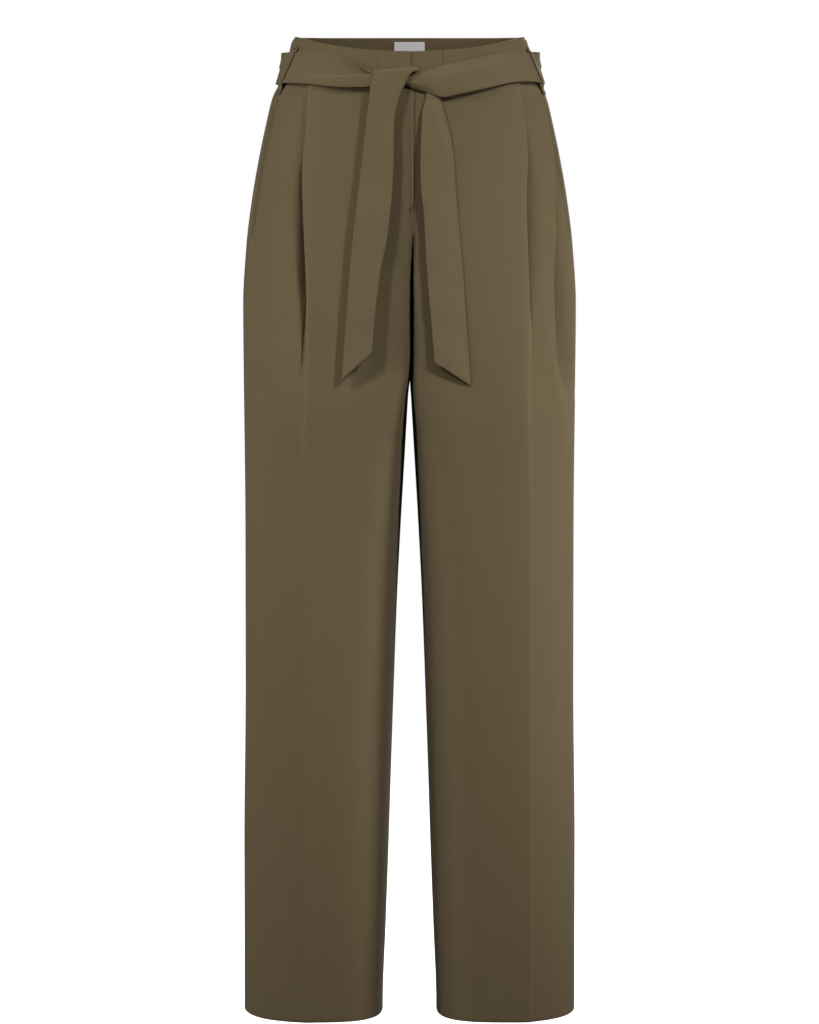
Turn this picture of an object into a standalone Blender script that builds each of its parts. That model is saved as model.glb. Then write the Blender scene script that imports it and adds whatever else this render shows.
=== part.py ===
"""Wide-leg trousers with a tie belt, filled out as worn, open at the waist and both hems.

Every cut piece is one closed solid: a grid laid on the garment's surface, then given its wall
with Solidify. Tables and sizes are in millimetres; the origin is the middle of the waist,
+X is the wearer's left, the front faces -Y and +Z is up.
"""

import math
from collections import namedtuple

import bmesh
import bpy
from mathutils import Vector

MM = 0.001

CLOTH = 1.1                 # wall of the front and back panels
BAND_WALL = 2.0             # waistband, sewn of several layers
BELT_WALL = 1.8             # tie belt, two layers
LOOP_WALL = 1.6
LABEL_WALL = 1.0
HALF_SEAM = 0.17            # each piece stays this far from the seam line
REST_GAP = 0.3              # a piece that lies on another

HEM = -1064.0
BAND_HEIGHT = 45.0          # at the centre front and back; it is taller at the sides

HIP_FULLNESS = 2.35         # exponent of the hip's rounded section, 2 is an ellipse
LEG_FULLNESS = 2.2
FRONT_RISE_TOP = -190.0     # the front seam turns in under the body from here
BACK_RISE_TOP = -165.0
CROTCH = -285.0
SOFT_BLEND_TOP = -150.0     # the hips turn into legs between these
SOFT_BLEND_END = -410.0
CORNER_PART = 0.3           # of an inner quarter: from the seam to the corner of the thigh
CORNER_WIDTH = 4.0
WALL_LEAD = 28.0            # the edges draw apart from this far above the turn
WALL_RISE = 35.0
WALL_CURVE = 2.5
WALL_CURVE_START = 0.15
WALL_CURVE_FALL = 0.4
CORNER_EVEN_TOP = -370.0    # the corner's grid line spreads out below this
CORNER_EVEN_FALL = 180.0
LAP_SHIFT = 4.0             # the centre line lies this far to the wearer's left
THIGH_SHIFT = 2.5           # and this far where the thighs touch
LAP_REACH = 30.0
LAP_FRONT = -90.0           # the shift fades out inward from this depth
LAP_DEPTH = 80.0
LAP_END = -200.0
LAP_FADE = 60.0
TOUCH_END = -340.0
TOUCH_FADE = 45.0

FOLD_RADIUS = 0.85          # of the pleat's folded edges
FOLD_ARC = 2.64             # length of cloth in each of its two folds
FOLD_STEPS = 3
PLEAT_REACH = 48.0          # the cloth beside a pleat settles over this width
CREASE_REACH = 14.0

TAB_TURN = 11.8             # seams of the waistband's short tabs, from the centre front
SIDE_SEAM_TURN = {-1: 71.0, 1: 76.0}
LOOP_WIDTH = 11.0
SIDE_LOOP_TURN = {-1: 73.6, 1: 75.5}
BACK_LOOP_TURN = 146.0
LABEL_WIDTH = 34.0
LABEL_TOP = 4.0
LABEL_BOTTOM = -34.0

# An edge of the waistband: its height at the side, and how far it dips towards the centre
# front and rises towards the centre back.
Edge = namedtuple("Edge", "side dip rise")
BAND_TOP = Edge(6.5, 20.0, 2.0)
BAND_FOOT = Edge(-43.5, 15.0, 7.0)

Outline = namedtuple("Outline", "height half_width front back")
OUTLINE = (
    Outline(9, 127.2, 96.0, 98.0),
    Outline(0, 128.2, 97.0, 99.0),
    Outline(-13, 130.8, 98.2, 100.6),
    Outline(-45, 141.5, 102.0, 105.5),
    Outline(-60, 149.0, 104.5, 109.0),
    Outline(-90, 156.5, 108.0, 115.5),
    Outline(-123, 163.5, 111.5, 121.5),
    Outline(-172, 172.1, 115.0, 128.5),
    Outline(-222, 178.3, 117.0, 131.0),
    Outline(-287, 182.0, 117.5, 129.0),
    Outline(-370, 181.4, 116.0, 121.0),
    Outline(-524, 180.0, 110.0, 111.0),
    Outline(-701, 180.0, 106.0, 106.0),
    Outline(-879, 182.0, 103.0, 103.0),
    Outline(-1064, 182.0, 101.0, 101.0),
)

# gap: half the air between the legs. square: exponent of the section's inner half.
Leg = namedtuple("Leg", "height gap square")
LEG = (
    Leg(-190, 0.0, 22.0),
    Leg(-285, 0.0, 18.0),
    Leg(-340, 0.0, 15.0),
    Leg(-364, 0.0, 11.0),
    Leg(-388, 1.5, 8.0),
    Leg(-436, 4.2, 4.6),
    Leg(-524, 9.3, 3.0),
    Leg(-612, 13.7, 2.4),
    Leg(-701, 17.0, 2.2),
    Leg(-790, 20.0, 2.2),
    Leg(-879, 22.8, 2.2),
    Leg(-968, 26.0, 2.2),
    Leg(-1064, 29.4, 2.2),
)

# Where the long lines run: how far the leg's seams are turned out, in degrees, and how far
# from the middle its front crease lies.
Lines = namedtuple("Lines", "height inseam crease side back")
LINES = {
    -1: (
        Lines(-45, 0, 111.5, 71.0, 142),
        Lines(-120, 0, 118.4, 71.5, 142),
        Lines(-172, 0, 118.5, 71.0, 142),
        Lines(-227, 0, 116.5, 72.0, 142),
        Lines(-285, 0, 114.5, 76.0, 146),
        Lines(-370, 3, 113.4, 83.0, 152),
        Lines(-440, 6, 113.4, 87.0, 157),
        Lines(-700, 11, 113.6, 94.0, 164),
        Lines(-1064, 11, 114.0, 95.0, 165),
    ),
    1: (
        Lines(-45, 0, 119.0, 76.0, 142),
        Lines(-87, 0, 124.0, 76.0, 142),
        Lines(-114, 0, 127.0, 76.0, 142),
        Lines(-172, 0, 126.8, 76.5, 142),
        Lines(-227, 0, 128.6, 77.0, 142),
        Lines(-285, 0, 130.4, 81.0, 146),
        Lines(-370, 6, 131.0, 88.0, 156),
        Lines(-458, 14, 131.8, 94.0, 164),
        Lines(-583, 28, 132.0, 100.0, 171),
        Lines(-656, 32, 132.0, 102.0, 174),
        Lines(-818, 32, 132.2, 104.0, 175),
        Lines(-1064, 27, 132.4, 103.0, 173),
    ),
}

# The pleat: how far its folds are closed, in degrees, and the width of the layer between them.
Pleat = namedtuple("Pleat", "height closed middle")
PLEAT = (
    Pleat(-45, 178, 14.0),
    Pleat(-120, 172, 13.0),
    Pleat(-173, 160, 9.0),
    Pleat(-227, 130, 5.0),
    Pleat(-260, 95, 3.5),
    Pleat(-281, 70, 3.0),
    Pleat(-313, 45, 3.0),
    Pleat(-367, 18, 3.0),
    Pleat(-421, 6, 3.0),
    Pleat(-1064, 6, 3.0),
)

Crease = namedtuple("Crease", "height front back")
CREASE = (
    Crease(-270, 0.0, 0.0),
    Crease(-340, 1.2, 0.6),
    Crease(-430, 2.2, 1.6),
    Crease(-1064, 2.6, 2.2),
)

# Below the crotch each row of the grid runs from the seam to the side at these heights.
Row = namedtuple("Row", "seam side")
LEG_ROWS = (
    Row(-300, -346), Row(-320, -363), Row(-345, -383), Row(-370, -405), Row(-400, -433),
    Row(-440, -469), Row(-490, -513), Row(-550, -566), Row(-620, -630), Row(-700, -705),
    Row(-790, -792), Row(-880, -880), Row(-970, -970), Row(HEM, HEM),
)
RISE_STEPS = 5
CROTCH_STEPS = 7
SIDE_RISE_END = -150.0
SIDE_CROTCH_END = -330.0
FAN_ZONE = 0.2

INNER_SHARES = (0.0, 0.08, 0.17, 0.25, 0.30, 0.35, 0.43, 0.55, 0.68, 0.81, 0.92, 1.0)
OUTER_SHARES = (0.0, 0.14, 0.30, 0.47, 0.65, 0.83, 1.0)

# The belt's course, by the angle from the centre front round the wearer's right side.
Course = namedtuple("Course", "turn top bottom lift bulge")
COURSE = (
    Course(11.5, -39.5, -51.0, 3.6, 2.4),
    Course(13.5, -37.6, -53.0, 3.6, 3.0),
    Course(22, -25.0, -53.5, 3.6, 2.2),
    Course(33, -17.6, -52.0, 3.6, 1.2),
    Course(46, -14.4, -49.4, 3.6, 0.5),
    Course(61, -13.6, -48.2, 3.6, 0.0),
    Course(75, -14.8, -48.0, 3.6, 0.0),
    Course(100, -12.5, -47.5, 3.6, 0.0),
    Course(140, -4.0, -39.8, 3.6, 0.0),
    Course(180, -1.0, -37.0, 3.6, 0.0),
    Course(220, -4.0, -39.8, 3.6, 0.0),
    Course(260, -12.5, -47.5, 3.6, 0.0),
    Course(284, -14.8, -48.0, 3.6, 0.0),
    Course(297, -14.0, -46.5, 3.6, 0.0),
    Course(313, -14.7, -47.5, 3.6, 0.3),
    Course(324, -18.3, -51.6, 3.7, 0.8),
    Course(336, -23.6, -57.0, 4.2, 1.4),
    Course(343.5, -27.4, -60.5, 4.8, 1.5),
    Course(350, -30.6, -63.5, 5.2, 1.5),
    Course(353.4, -33.0, -59.0, 5.2, 1.5),
    Course(356.8, -35.0, -54.8, 5.2, 1.5),
    Course(359.4, -37.0, -52.5, 5.2, 1.5),
    Course(360.6, -38.0, -50.0, 5.2, 1.4),
)
BELT_BACK_STEP = 7.5        # degrees between the belt's grid lines round the back
BELT_ROWS = 4

# A hanging end of the belt: its edges at each height, how far its middle line stands off the
# cloth behind it, and the slope of the grid line from edge to edge.
Tail = namedtuple("Tail", "height left right lift slope")
DRAPE = (
    Tail(-33.4, -38.5, 9.0, 2.5, 0.11),
    Tail(-33.0, -38.6, 9.0, 5.6, 0.11),
    Tail(-34.8, -38.9, 8.0, 9.2, 0.10),
    Tail(-39.5, -39.4, 1.6, 9.7, 0.08),
    Tail(-44.6, -40.6, -3.2, 9.7, 0.04),
    Tail(-50.0, -41.5, -5.4, 9.5, 0.0),
    Tail(-58.5, -42.3, -9.7, 9.0, 0.0),
    Tail(-78.0, -44.4, -15.0, 8.0, 0.0),
    Tail(-99.0, -47.0, -17.1, 7.2, 0.0),
    Tail(-130.0, -50.2, -17.1, 6.6, 0.0),
    Tail(-160.0, -54.0, -18.4, 6.2, 0.0),
    Tail(-190.0, -57.3, -21.4, 6.0, 0.0),
    Tail(-217.0, -60.4, -24.8, 6.0, 0.0),
    Tail(-248.0, -63.2, -31.1, 6.0, 0.0),
    Tail(-281.0, -66.0, -35.4, 6.0, 0.1),
    Tail(-314.0, -69.0, -38.6, 6.0, 0.35),
    Tail(-350.0, -71.9, -40.8, 6.0, 0.90),
)
TAIL = (
    Tail(-55.0, 20.0, 30.0, 2.4, 0.0),
    Tail(-66.0, 19.0, 32.0, 2.5, 0.0),
    Tail(-71.0, 17.6, 34.2, 3.2, 0.0),
    Tail(-80.0, 15.6, 38.2, 4.4, 0.0),
    Tail(-99.0, 13.4, 42.8, 5.4, 0.0),
    Tail(-120.0, 12.0, 46.0, 5.8, 0.0),
    Tail(-142.0, 11.8, 47.6, 6.0, 0.0),
    Tail(-163.0, 12.8, 49.2, 6.0, 0.0),
    Tail(-195.0, 16.0, 51.8, 6.0, 0.0),
    Tail(-237.0, 18.2, 55.7, 6.0, 0.0),
    Tail(-281.0, 21.4, 59.0, 6.0, -0.05),
    Tail(-323.0, 24.7, 62.4, 6.0, -0.3),
    Tail(-358.7, 26.8, 65.5, 6.0, -0.66),
)
TAIL_COLUMNS = 5
TAIL_ARCH = 1.0

# A belt loop's strip, from its upper end over the belt to its lower end.
Strip = namedtuple("Strip", "lift height")
SIDE_LOOP = (
    Strip(2.1, -9.0), Strip(2.1, -12.4), Strip(8.4, -14.0), Strip(9.0, -16.5), Strip(8.2, -31.0),
    Strip(6.4, -46.0), Strip(5.7, -49.4), Strip(2.1, -53.0), Strip(1.75, -58.5),
)
BACK_LOOP = (
    Strip(2.1, 2.6), Strip(2.1, -0.4), Strip(5.7, -1.4), Strip(6.3, -3.4), Strip(6.3, -20.0),
    Strip(6.0, -39.0), Strip(5.6, -42.2), Strip(2.1, -45.6), Strip(1.75, -50.6),
)

CLOTH_COLOUR = (0.127, 0.095, 0.050)
BELT_COLOUR = (0.145, 0.109, 0.058)
LABEL_COLOUR = (0.73, 0.71, 0.73)
CLOTH_ROUGHNESS = 0.85
LABEL_ROUGHNESS = 0.6


def smooth(value):
    """0 below 0, 1 above 1 and a soft step between."""
    value = min(1.0, max(0.0, value))
    return value * value * (3.0 - 2.0 * value)


def mix(first, second, share):
    return first + (second - first) * share


def power(value, exponent):
    return math.copysign(abs(value) ** exponent, value)


def slope_at(keys, values, index):
    """Slope of the smooth curve at a row of a table: flat at its peaks and ends."""
    if index in (0, len(keys) - 1):
        return 0.0
    before = (values[index] - values[index - 1]) / (keys[index] - keys[index - 1])
    after = (values[index + 1] - values[index]) / (keys[index + 1] - keys[index])
    if before * after <= 0.0:
        return 0.0
    return 2.0 * before * after / (before + after)


def read(table, column, key):
    """Value of a table's column at a key, on a smooth curve through its rows."""
    keys = [row[0] for row in table]
    values = [getattr(row, column) for row in table]
    direction = 1.0 if keys[-1] > keys[0] else -1.0
    if (key - keys[0]) * direction <= 0.0:
        return values[0]
    if (key - keys[-1]) * direction >= 0.0:
        return values[-1]
    index = next(i for i in range(len(keys) - 1) if (key - keys[i + 1]) * direction <= 0.0)
    width = keys[index + 1] - keys[index]
    share = (key - keys[index]) / width
    start = slope_at(keys, values, index) * width
    end = slope_at(keys, values, index + 1) * width
    square, cube = share ** 2, share ** 3
    return (
        values[index] * (2 * cube - 3 * square + 1)
        + start * (cube - 2 * square + share)
        + values[index + 1] * (3 * square - 2 * cube)
        + end * (cube - square)
    )


def edge_height(edge, turn):
    """Height of one of the waistband's edges, at an angle from the centre front."""
    level = math.cos(math.radians(turn))
    return edge.side + (-edge.dip if level > 0 else edge.rise) * level ** 2


def hip_ring(turn, height):
    """(across, depth) on the hip's section, at an angle from the centre front."""
    angle = math.radians(turn)
    exponent = 2.0 / HIP_FULLNESS
    across = read(OUTLINE, "half_width", height) * power(math.sin(angle), exponent)
    reach = read(OUTLINE, "front" if math.cos(angle) > 0 else "back", height)
    return across, -reach * power(math.cos(angle), exponent)


def leg_ring(turn, height):
    """(across, depth) on one leg's section, in a direction from its inner side round the
    front."""
    angle = math.radians(turn)
    inner = read(LEG, "gap", height) + CLOTH / 2 + HALF_SEAM
    outer = read(OUTLINE, "half_width", height)
    square = read(LEG, "square", height) if math.cos(angle) > 0 else LEG_FULLNESS
    size = (abs(math.cos(angle)) ** square + abs(math.sin(angle)) ** square) ** (1.0 / square)
    across = (inner + outer) / 2 - (outer - inner) / 2 * math.cos(angle) / size
    reach = read(OUTLINE, "front" if math.sin(angle) > 0 else "back", height)
    return across, -reach * math.sin(angle) / size


def crease_turns(side, height):
    """Angle of the front crease on the hip's section, and its direction on the leg's."""
    across = read(LINES[side], "crease", height)
    outer = read(OUTLINE, "half_width", height)
    on_hip = math.degrees(math.asin((across / outer) ** (HIP_FULLNESS / 2)))
    inner = read(LEG, "gap", height)
    from_middle = (across - (inner + outer) / 2) / ((outer - inner) / 2)
    forward = (1.0 - from_middle ** LEG_FULLNESS) ** (1.0 / LEG_FULLNESS)
    return on_hip, 90.0 + math.degrees(math.atan(from_middle / forward))


def rise_top(share):
    return FRONT_RISE_TOP if share < 0.5 else BACK_RISE_TOP


def seam_fall(share, height):
    """How far the centre seam has come round under the body: 0 upright, 1 at the crotch."""
    top = rise_top(share)
    return min(1.0, max(0.0, (top - height) / (top - CROTCH)))


def hip_inner(share, part, edge, height):
    """(across, depth) on the hips between the centre seam (part 0) and a crease (part 1, at
    edge), with the wall of the inner thigh that grows inward from the seam."""
    fall = seam_fall(share, height)
    apart = smooth((rise_top(share) + WALL_LEAD - height) / WALL_RISE)
    curve = mix(1.0, WALL_CURVE, smooth((fall - WALL_CURVE_START) / WALL_CURVE_FALL))
    outer = read(OUTLINE, "half_width", height)
    reach = read(OUTLINE, "front" if share < 0.5 else "back", height)
    on_wall = min(1.0, part / CORNER_PART)
    across = mix((CLOTH / 2 + HALF_SEAM) * apart, CORNER_WIDTH, on_wall ** curve)
    across = mix(across, edge, max(0.0, (part - CORNER_PART) / (1.0 - CORNER_PART)))
    full = reach * (1.0 - (across / outer) ** HIP_FULLNESS) ** (1.0 / HIP_FULLNESS)
    depth = mix(reach * math.sqrt(1.0 - fall ** 2), full, on_wall)
    return across, -depth if share < 0.5 else depth


def leg_turn_inner(share, part, inseam, crease, height):
    """Direction on the leg's section between the inseam (part 0) and a crease (part 1)."""
    way = 1.0 if share < 0.5 else -1.0
    upright = math.degrees(math.atan(math.sqrt(1.0 - seam_fall(share, height) ** 2)))
    start = inseam + way * upright
    even = smooth((CORNER_EVEN_TOP - height) / CORNER_EVEN_FALL)
    corner = mix(way * 45.0, mix(start, crease, CORNER_PART), even)
    if part < CORNER_PART:
        return mix(start, corner, part / CORNER_PART)
    return mix(corner, crease, (part - CORNER_PART) / (1.0 - CORNER_PART))


def section(side, share, height):
    """(across, depth) on the hip's and on the leg's section. Share runs from the centre front
    or inseam (0) past the front crease (0.25), side seam (0.5) and back crease (0.75) to 1."""
    crease_hip, crease_leg = crease_turns(side, height)
    inseam = read(LINES[side], "inseam", height)
    side_turn = read(LINES[side], "side", height)
    back_turn = read(LINES[side], "back", height)
    hip = (crease_hip, side_turn, back_turn)
    leg = (crease_leg, 90.0 + side_turn, 110.0 + back_turn)
    if 0.25 <= share <= 0.75:
        quarter = 0 if share < 0.5 else 1
        part = share * 4.0 - 1.0 - quarter
        return (
            hip_ring(mix(hip[quarter], hip[quarter + 1], part), height),
            leg_ring(mix(leg[quarter], leg[quarter + 1], part), height),
        )
    part = min(share, 1.0 - share) * 4.0
    end = 0 if share < 0.5 else 2
    crease = leg[end] if share < 0.5 else leg[end] - 360.0
    edge = hip_ring(hip[end], height)[0]
    return (
        hip_inner(share, part, edge, height),
        leg_ring(leg_turn_inner(share, part, inseam, crease, height), height),
    )


def leg_share(height):
    """How far the hips have turned into a leg."""
    return smooth((SOFT_BLEND_TOP - height) / (SOFT_BLEND_TOP - SOFT_BLEND_END))


def centre_shift(across, depth, height):
    """Sideways shift of both legs alike, for a centre line that lies off the middle."""
    in_front = 1.0 - smooth((depth - LAP_FRONT) / LAP_DEPTH)
    size = mix(LAP_SHIFT, THIGH_SHIFT, smooth((LAP_END - height) / LAP_FADE))
    size *= 1.0 - smooth((TOUCH_END - height) / TOUCH_FADE)
    return size * in_front * math.exp(-((across / LAP_REACH) ** 2))


def place(side, across, depth, height):
    return Vector((side * across + centre_shift(across, depth, height), depth, height))


def hip_point(side, turn, height):
    across, depth = hip_ring(turn, height)
    return place(side, across, depth, height)


def panel_point(side, share, height):
    """A point on the trousers' surface below the waistband."""
    hip, leg = section(side, share, height)
    blend = leg_share(height)
    across = mix(hip[0], leg[0], blend)
    depth = mix(hip[1], leg[1], blend)
    return place(side, across, depth, height)


def outward(along, down, side):
    """Unit normal that points out of the garment."""
    return (down.cross(along) * side).normalized()


def panel_frame(side, share, height):
    """The surface's direction towards the side seam, and its normal."""
    before, after = max(0.0, share - 0.002), min(1.0, share + 0.002)
    along = panel_point(side, after, height) - panel_point(side, before, height)
    down = panel_point(side, share, height - 2.0) - panel_point(side, share, height + 2.0)
    return along.normalized(), outward(along, down, side)


def fan_height(side, share, row):
    """Height of a grid row at a share of the round: the rows crowd together at the crotch."""
    across, depth = section(side, share, -BAND_HEIGHT)[0]
    outer = read(OUTLINE, "half_width", -BAND_HEIGHT)
    reach = read(OUTLINE, "front" if depth < 0 else "back", -BAND_HEIGHT)
    level = math.copysign(min(1.0, abs(depth) / reach) ** (HIP_FULLNESS / 2), -depth)
    top = edge_height(BAND_FOOT, math.degrees(math.acos(level))) - REST_GAP
    turn_in = rise_top(share)
    if row <= RISE_STEPS:
        part = row / RISE_STEPS
        at_seam = mix(top, turn_in, part)
        at_side = mix(top, SIDE_RISE_END, part)
    elif row <= RISE_STEPS + CROTCH_STEPS:
        part = (row - RISE_STEPS) / CROTCH_STEPS
        at_seam = mix(turn_in, CROTCH, math.sin(part * math.pi / 2))
        at_side = mix(SIDE_RISE_END, SIDE_CROTCH_END, part)
    else:
        at_seam, at_side = LEG_ROWS[row - RISE_STEPS - CROTCH_STEPS - 1]
    return mix(at_seam, at_side, smooth(min(share, 1.0 - share) / FAN_ZONE))


def fold_steps(height):
    """Points across the folded pleat, from its upper edge: (outward along the cloth, out of
    it), centred on the crease line."""
    closed = math.radians(read(PLEAT, "closed", height))
    middle = read(PLEAT, "middle", height)
    radius = max(FOLD_RADIUS, FOLD_ARC / closed)
    first = [
        (radius * math.sin(closed * k / FOLD_STEPS),
         -radius * (1 - math.cos(closed * k / FOLD_STEPS)))
        for k in range(FOLD_STEPS + 1)
    ]
    last_along = 2 * first[-1][0] + middle * math.cos(closed)
    last_out = 2 * first[-1][1] - middle * math.sin(closed)
    points = first + [(last_along - along, last_out - out) for along, out in reversed(first)]
    return [(along - last_along / 2, out - last_out / 2) for along, out in points]


def ridge(column, height, distance):
    """Height of the pressed crease at a distance from it."""
    return read(CREASE, column, height) * math.exp(-abs(distance) / CREASE_REACH)


def edge_rise(side, share, row):
    """Rise of a front's upper edge towards the side seam, for cloth that a pleat draws along
    it. It fades out over the rows below."""
    shares = (max(0.0, share - 0.01), share + 0.01)
    levels = [fan_height(side, near, 0) for near in shares]
    ends = [panel_point(side, near, level) for near, level in zip(shares, levels)]
    slope = (levels[1] - levels[0]) / (ends[1] - ends[0]).length
    return Vector((0.0, 0.0, slope * max(0.0, 1.0 - row / RISE_STEPS)))


def front_line(side, row):
    """One grid row of a front panel, from the centre to the side seam, with its pleat."""
    height = fan_height(side, 0.25, row)
    crease = panel_point(side, 0.25, height)
    along, out = panel_frame(side, 0.25, height)
    folds = fold_steps(height)
    apex = folds[1][0]
    along += edge_rise(side, 0.25, row)

    def beside(share, edge):
        level = fan_height(side, share, row)
        point = panel_point(side, share, level)
        local_along, local_out = panel_frame(side, share, level)
        distance = (point - panel_point(side, 0.25, level)).length
        settle = 1.0 - smooth(distance / PLEAT_REACH)
        lift = edge[1] * settle + ridge("front", level, distance)
        local_along += edge_rise(side, share, row)
        return point + local_along * edge[0] * settle + local_out * lift

    inner = [beside(0.25 * share, folds[0]) for share in INNER_SHARES[:-1]]
    pleat = [
        crease + along * step + out * (rise + ridge("front", height, step - apex))
        for step, rise in folds
    ]
    outer = [beside(0.25 + 0.25 * share, folds[-1]) for share in OUTER_SHARES[1:]]
    return inner + pleat + outer


def back_line(side, row):
    """One grid row of a back panel, from the side seam to the centre back or inseam."""
    shares = [0.5 + 0.25 * share for share in OUTER_SHARES]
    shares += [1.0 - 0.25 * share for share in reversed(INNER_SHARES[:-1])]
    line = []
    for share in shares:
        height = fan_height(side, share, row)
        point = panel_point(side, share, height)
        distance = (point - panel_point(side, 0.75, height)).length
        line.append(point + panel_frame(side, share, height)[1] * ridge("back", height, distance))
    return line


def pull_in(grid, amount):
    """Draws a grid's four edges in by an amount, so that a seam's two pieces stay apart."""
    def toward(point, inner):
        return point + (inner - point).normalized() * amount

    sides = [[toward(row[0], row[1])] + row[1:-1] + [toward(row[-1], row[-2])] for row in grid]
    first = [toward(point, below) for point, below in zip(sides[0], sides[1])]
    last = [toward(point, above) for point, above in zip(sides[-1], sides[-2])]
    return [first] + sides[1:-1] + [last]


def cloth_piece(name, grid, wall, material):
    """A closed wall of cloth on a grid of points, whose rows run down and columns outward."""
    rows, columns = len(grid) - 1, len(grid[0]) - 1
    mesh = bpy.data.meshes.new(name)
    shell = bmesh.new()
    bmesh.ops.create_grid(shell, x_segments=columns, y_segments=rows, size=1.0)
    for vertex in shell.verts:
        column = round((vertex.co.x + 1.0) / 2.0 * columns)
        row = round((1.0 - vertex.co.y) / 2.0 * rows)
        vertex.co = grid[row][column] * MM
    shell.to_mesh(mesh)
    shell.free()
    piece = bpy.data.objects.new(name, mesh)
    piece.data.materials.append(material)
    solidify = piece.modifiers.new("wall", "SOLIDIFY")
    solidify.thickness = wall * MM
    solidify.offset = 0.0
    solidify.use_even_offset = True
    return piece


def finish(name, colour, roughness):
    material = bpy.data.materials.new(name)
    material.use_nodes = True
    shader = material.node_tree.nodes["Principled BSDF"]
    shader.inputs["Base Color"].default_value = (*colour, 1.0)
    shader.inputs["Roughness"].default_value = roughness
    return material


def panels(material):
    rows = range(RISE_STEPS + CROTCH_STEPS + len(LEG_ROWS) + 1)
    pieces = []
    for side, label in ((1, "left"), (-1, "right")):
        front = pull_in([front_line(side, row) for row in rows], HALF_SEAM)
        back = pull_in([back_line(side, row) for row in rows], HALF_SEAM)
        pieces.append(cloth_piece(f"front_{label}", front, CLOTH, material))
        pieces.append(cloth_piece(f"back_{label}", back, CLOTH, material))
    return pieces


def course_point(turn, height, lift):
    """A point over the waistband, by the angle from the centre front round the wearer's
    right side, and how far it stands out from the band's middle."""
    on_right = turn <= 180.0 or turn > 360.0
    side = -1 if on_right else 1
    from_front = turn % 360.0 if on_right else 360.0 - turn
    step = 0.5
    here = hip_point(side, from_front, height)
    along = hip_point(side, from_front + step, height) - hip_point(side, from_front - step, height)
    down = hip_point(side, from_front, height - 2.0) - hip_point(side, from_front, height + 2.0)
    return here + outward(along, down, side) * lift


def spaced(start, end, step):
    """Even values from start to end, about a step apart, with both ends."""
    count = max(1, round(abs(end - start) / step))
    return [mix(start, end, k / count) for k in range(count + 1)]


def waistband(material):
    """Two tabs beside the opening, two side fronts and the back."""
    right_seam, left_seam = SIDE_SEAM_TURN[-1], 360.0 - SIDE_SEAM_TURN[1]
    spans = (
        ("waistband_tab_right", 0.01, TAB_TURN, 4.0),
        ("waistband_front_right", TAB_TURN, right_seam, 8.5),
        ("waistband_back", right_seam, left_seam, 9.0),
        ("waistband_front_left", left_seam, 360.0 - TAB_TURN, 8.5),
        ("waistband_tab_left", 360.0 - TAB_TURN, 359.99, 4.0),
    )
    pieces = []
    for name, start, end, step in spans:
        grid = []
        for part in (0.0, 0.25, 0.5, 0.75, 1.0):
            line = []
            for turn in reversed(spaced(start, end, step)):
                top, foot = edge_height(BAND_TOP, turn), edge_height(BAND_FOOT, turn)
                line.append(course_point(turn, mix(top, foot, part), 0.0))
            grid.append(line)
        pieces.append(cloth_piece(name, pull_in(grid, HALF_SEAM), BAND_WALL, material))
    return pieces


def belt_band(material):
    """The belt from its pinched end at the knot round the back to its crossing end."""
    near_knot = [11.5, 13.5, 18.0, 24.0, 31.0]
    crossing = [row.turn for row in COURSE if row.turn > 330.0]
    turns = near_knot + spaced(39.0, 321.0, BELT_BACK_STEP) + [329.0] + crossing
    grid = []
    for k in range(BELT_ROWS + 1):
        part = k / BELT_ROWS
        line = []
        for turn in reversed(turns):
            height = mix(read(COURSE, "top", turn), read(COURSE, "bottom", turn), part)
            bulge = read(COURSE, "bulge", turn) * math.sin(math.pi * part)
            line.append(course_point(turn, height, read(COURSE, "lift", turn) + bulge))
        grid.append(line)
    return cloth_piece("belt_band", grid, BELT_WALL, material)


def front_depth(across, height):
    """Depth of the front's surface at a distance to the side and a height."""
    side = 1 if across > 0 else -1
    near, far = 0.0, 0.25
    for _ in range(24):
        middle = (near + far) / 2
        if panel_point(side, middle, height).x * side < across * side:
            near = middle
        else:
            far = middle
    return panel_point(side, near, height).y


def hanging_end(name, table, material):
    """A free end of the belt that hangs in front of the trousers."""
    grid = []
    for row in table:
        line = []
        for k in range(TAIL_COLUMNS + 1):
            part = k / TAIL_COLUMNS
            across = mix(row.left, row.right, part)
            height = row.height + row.slope * (across - (row.left + row.right) / 2)
            arch = TAIL_ARCH * (1.0 - (2.0 * part - 1.0) ** 2)
            depth = front_depth(across, height) - row.lift - arch
            line.append(Vector((across, depth, height)))
        grid.append(line)
    return cloth_piece(name, grid, BELT_WALL, material)


def belt_loop(name, turn, strip, material):
    """One belt loop, centred at an angle round the waist."""
    middle = course_point(turn, strip[4].height, 0.0)
    beside = course_point(turn + 1.0, strip[4].height, 0.0)
    half = LOOP_WIDTH / 2 / (beside - middle).length
    grid = [
        [course_point(turn + offset, step.height, step.lift) for offset in (half, 0.0, -half)]
        for step in strip
    ]
    return cloth_piece(name, grid, LOOP_WALL, material)


def belt_loops(material):
    return [
        belt_loop("belt_loop_side_right", SIDE_LOOP_TURN[-1], SIDE_LOOP, material),
        belt_loop("belt_loop_side_left", 360.0 - SIDE_LOOP_TURN[1], SIDE_LOOP, material),
        belt_loop("belt_loop_back_right", BACK_LOOP_TURN, BACK_LOOP, material),
        belt_loop("belt_loop_back_left", 360.0 - BACK_LOOP_TURN, BACK_LOOP, material),
    ]


def size_label(material):
    """The bare label inside the back of the waistband."""
    lift = -(BAND_WALL / 2 + REST_GAP + LABEL_WALL / 2)
    across = LABEL_WIDTH / 2 / read(OUTLINE, "half_width", LABEL_TOP)
    half = math.degrees(math.asin(across ** (HIP_FULLNESS / 2)))
    turns = spaced(180.0 + half, 180.0 - half, half / 2)
    grid = [
        [course_point(turn, height, lift) for turn in turns]
        for height in spaced(LABEL_TOP, LABEL_BOTTOM, 10.0)
    ]
    return cloth_piece("size_label", grid, LABEL_WALL, material)


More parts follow.
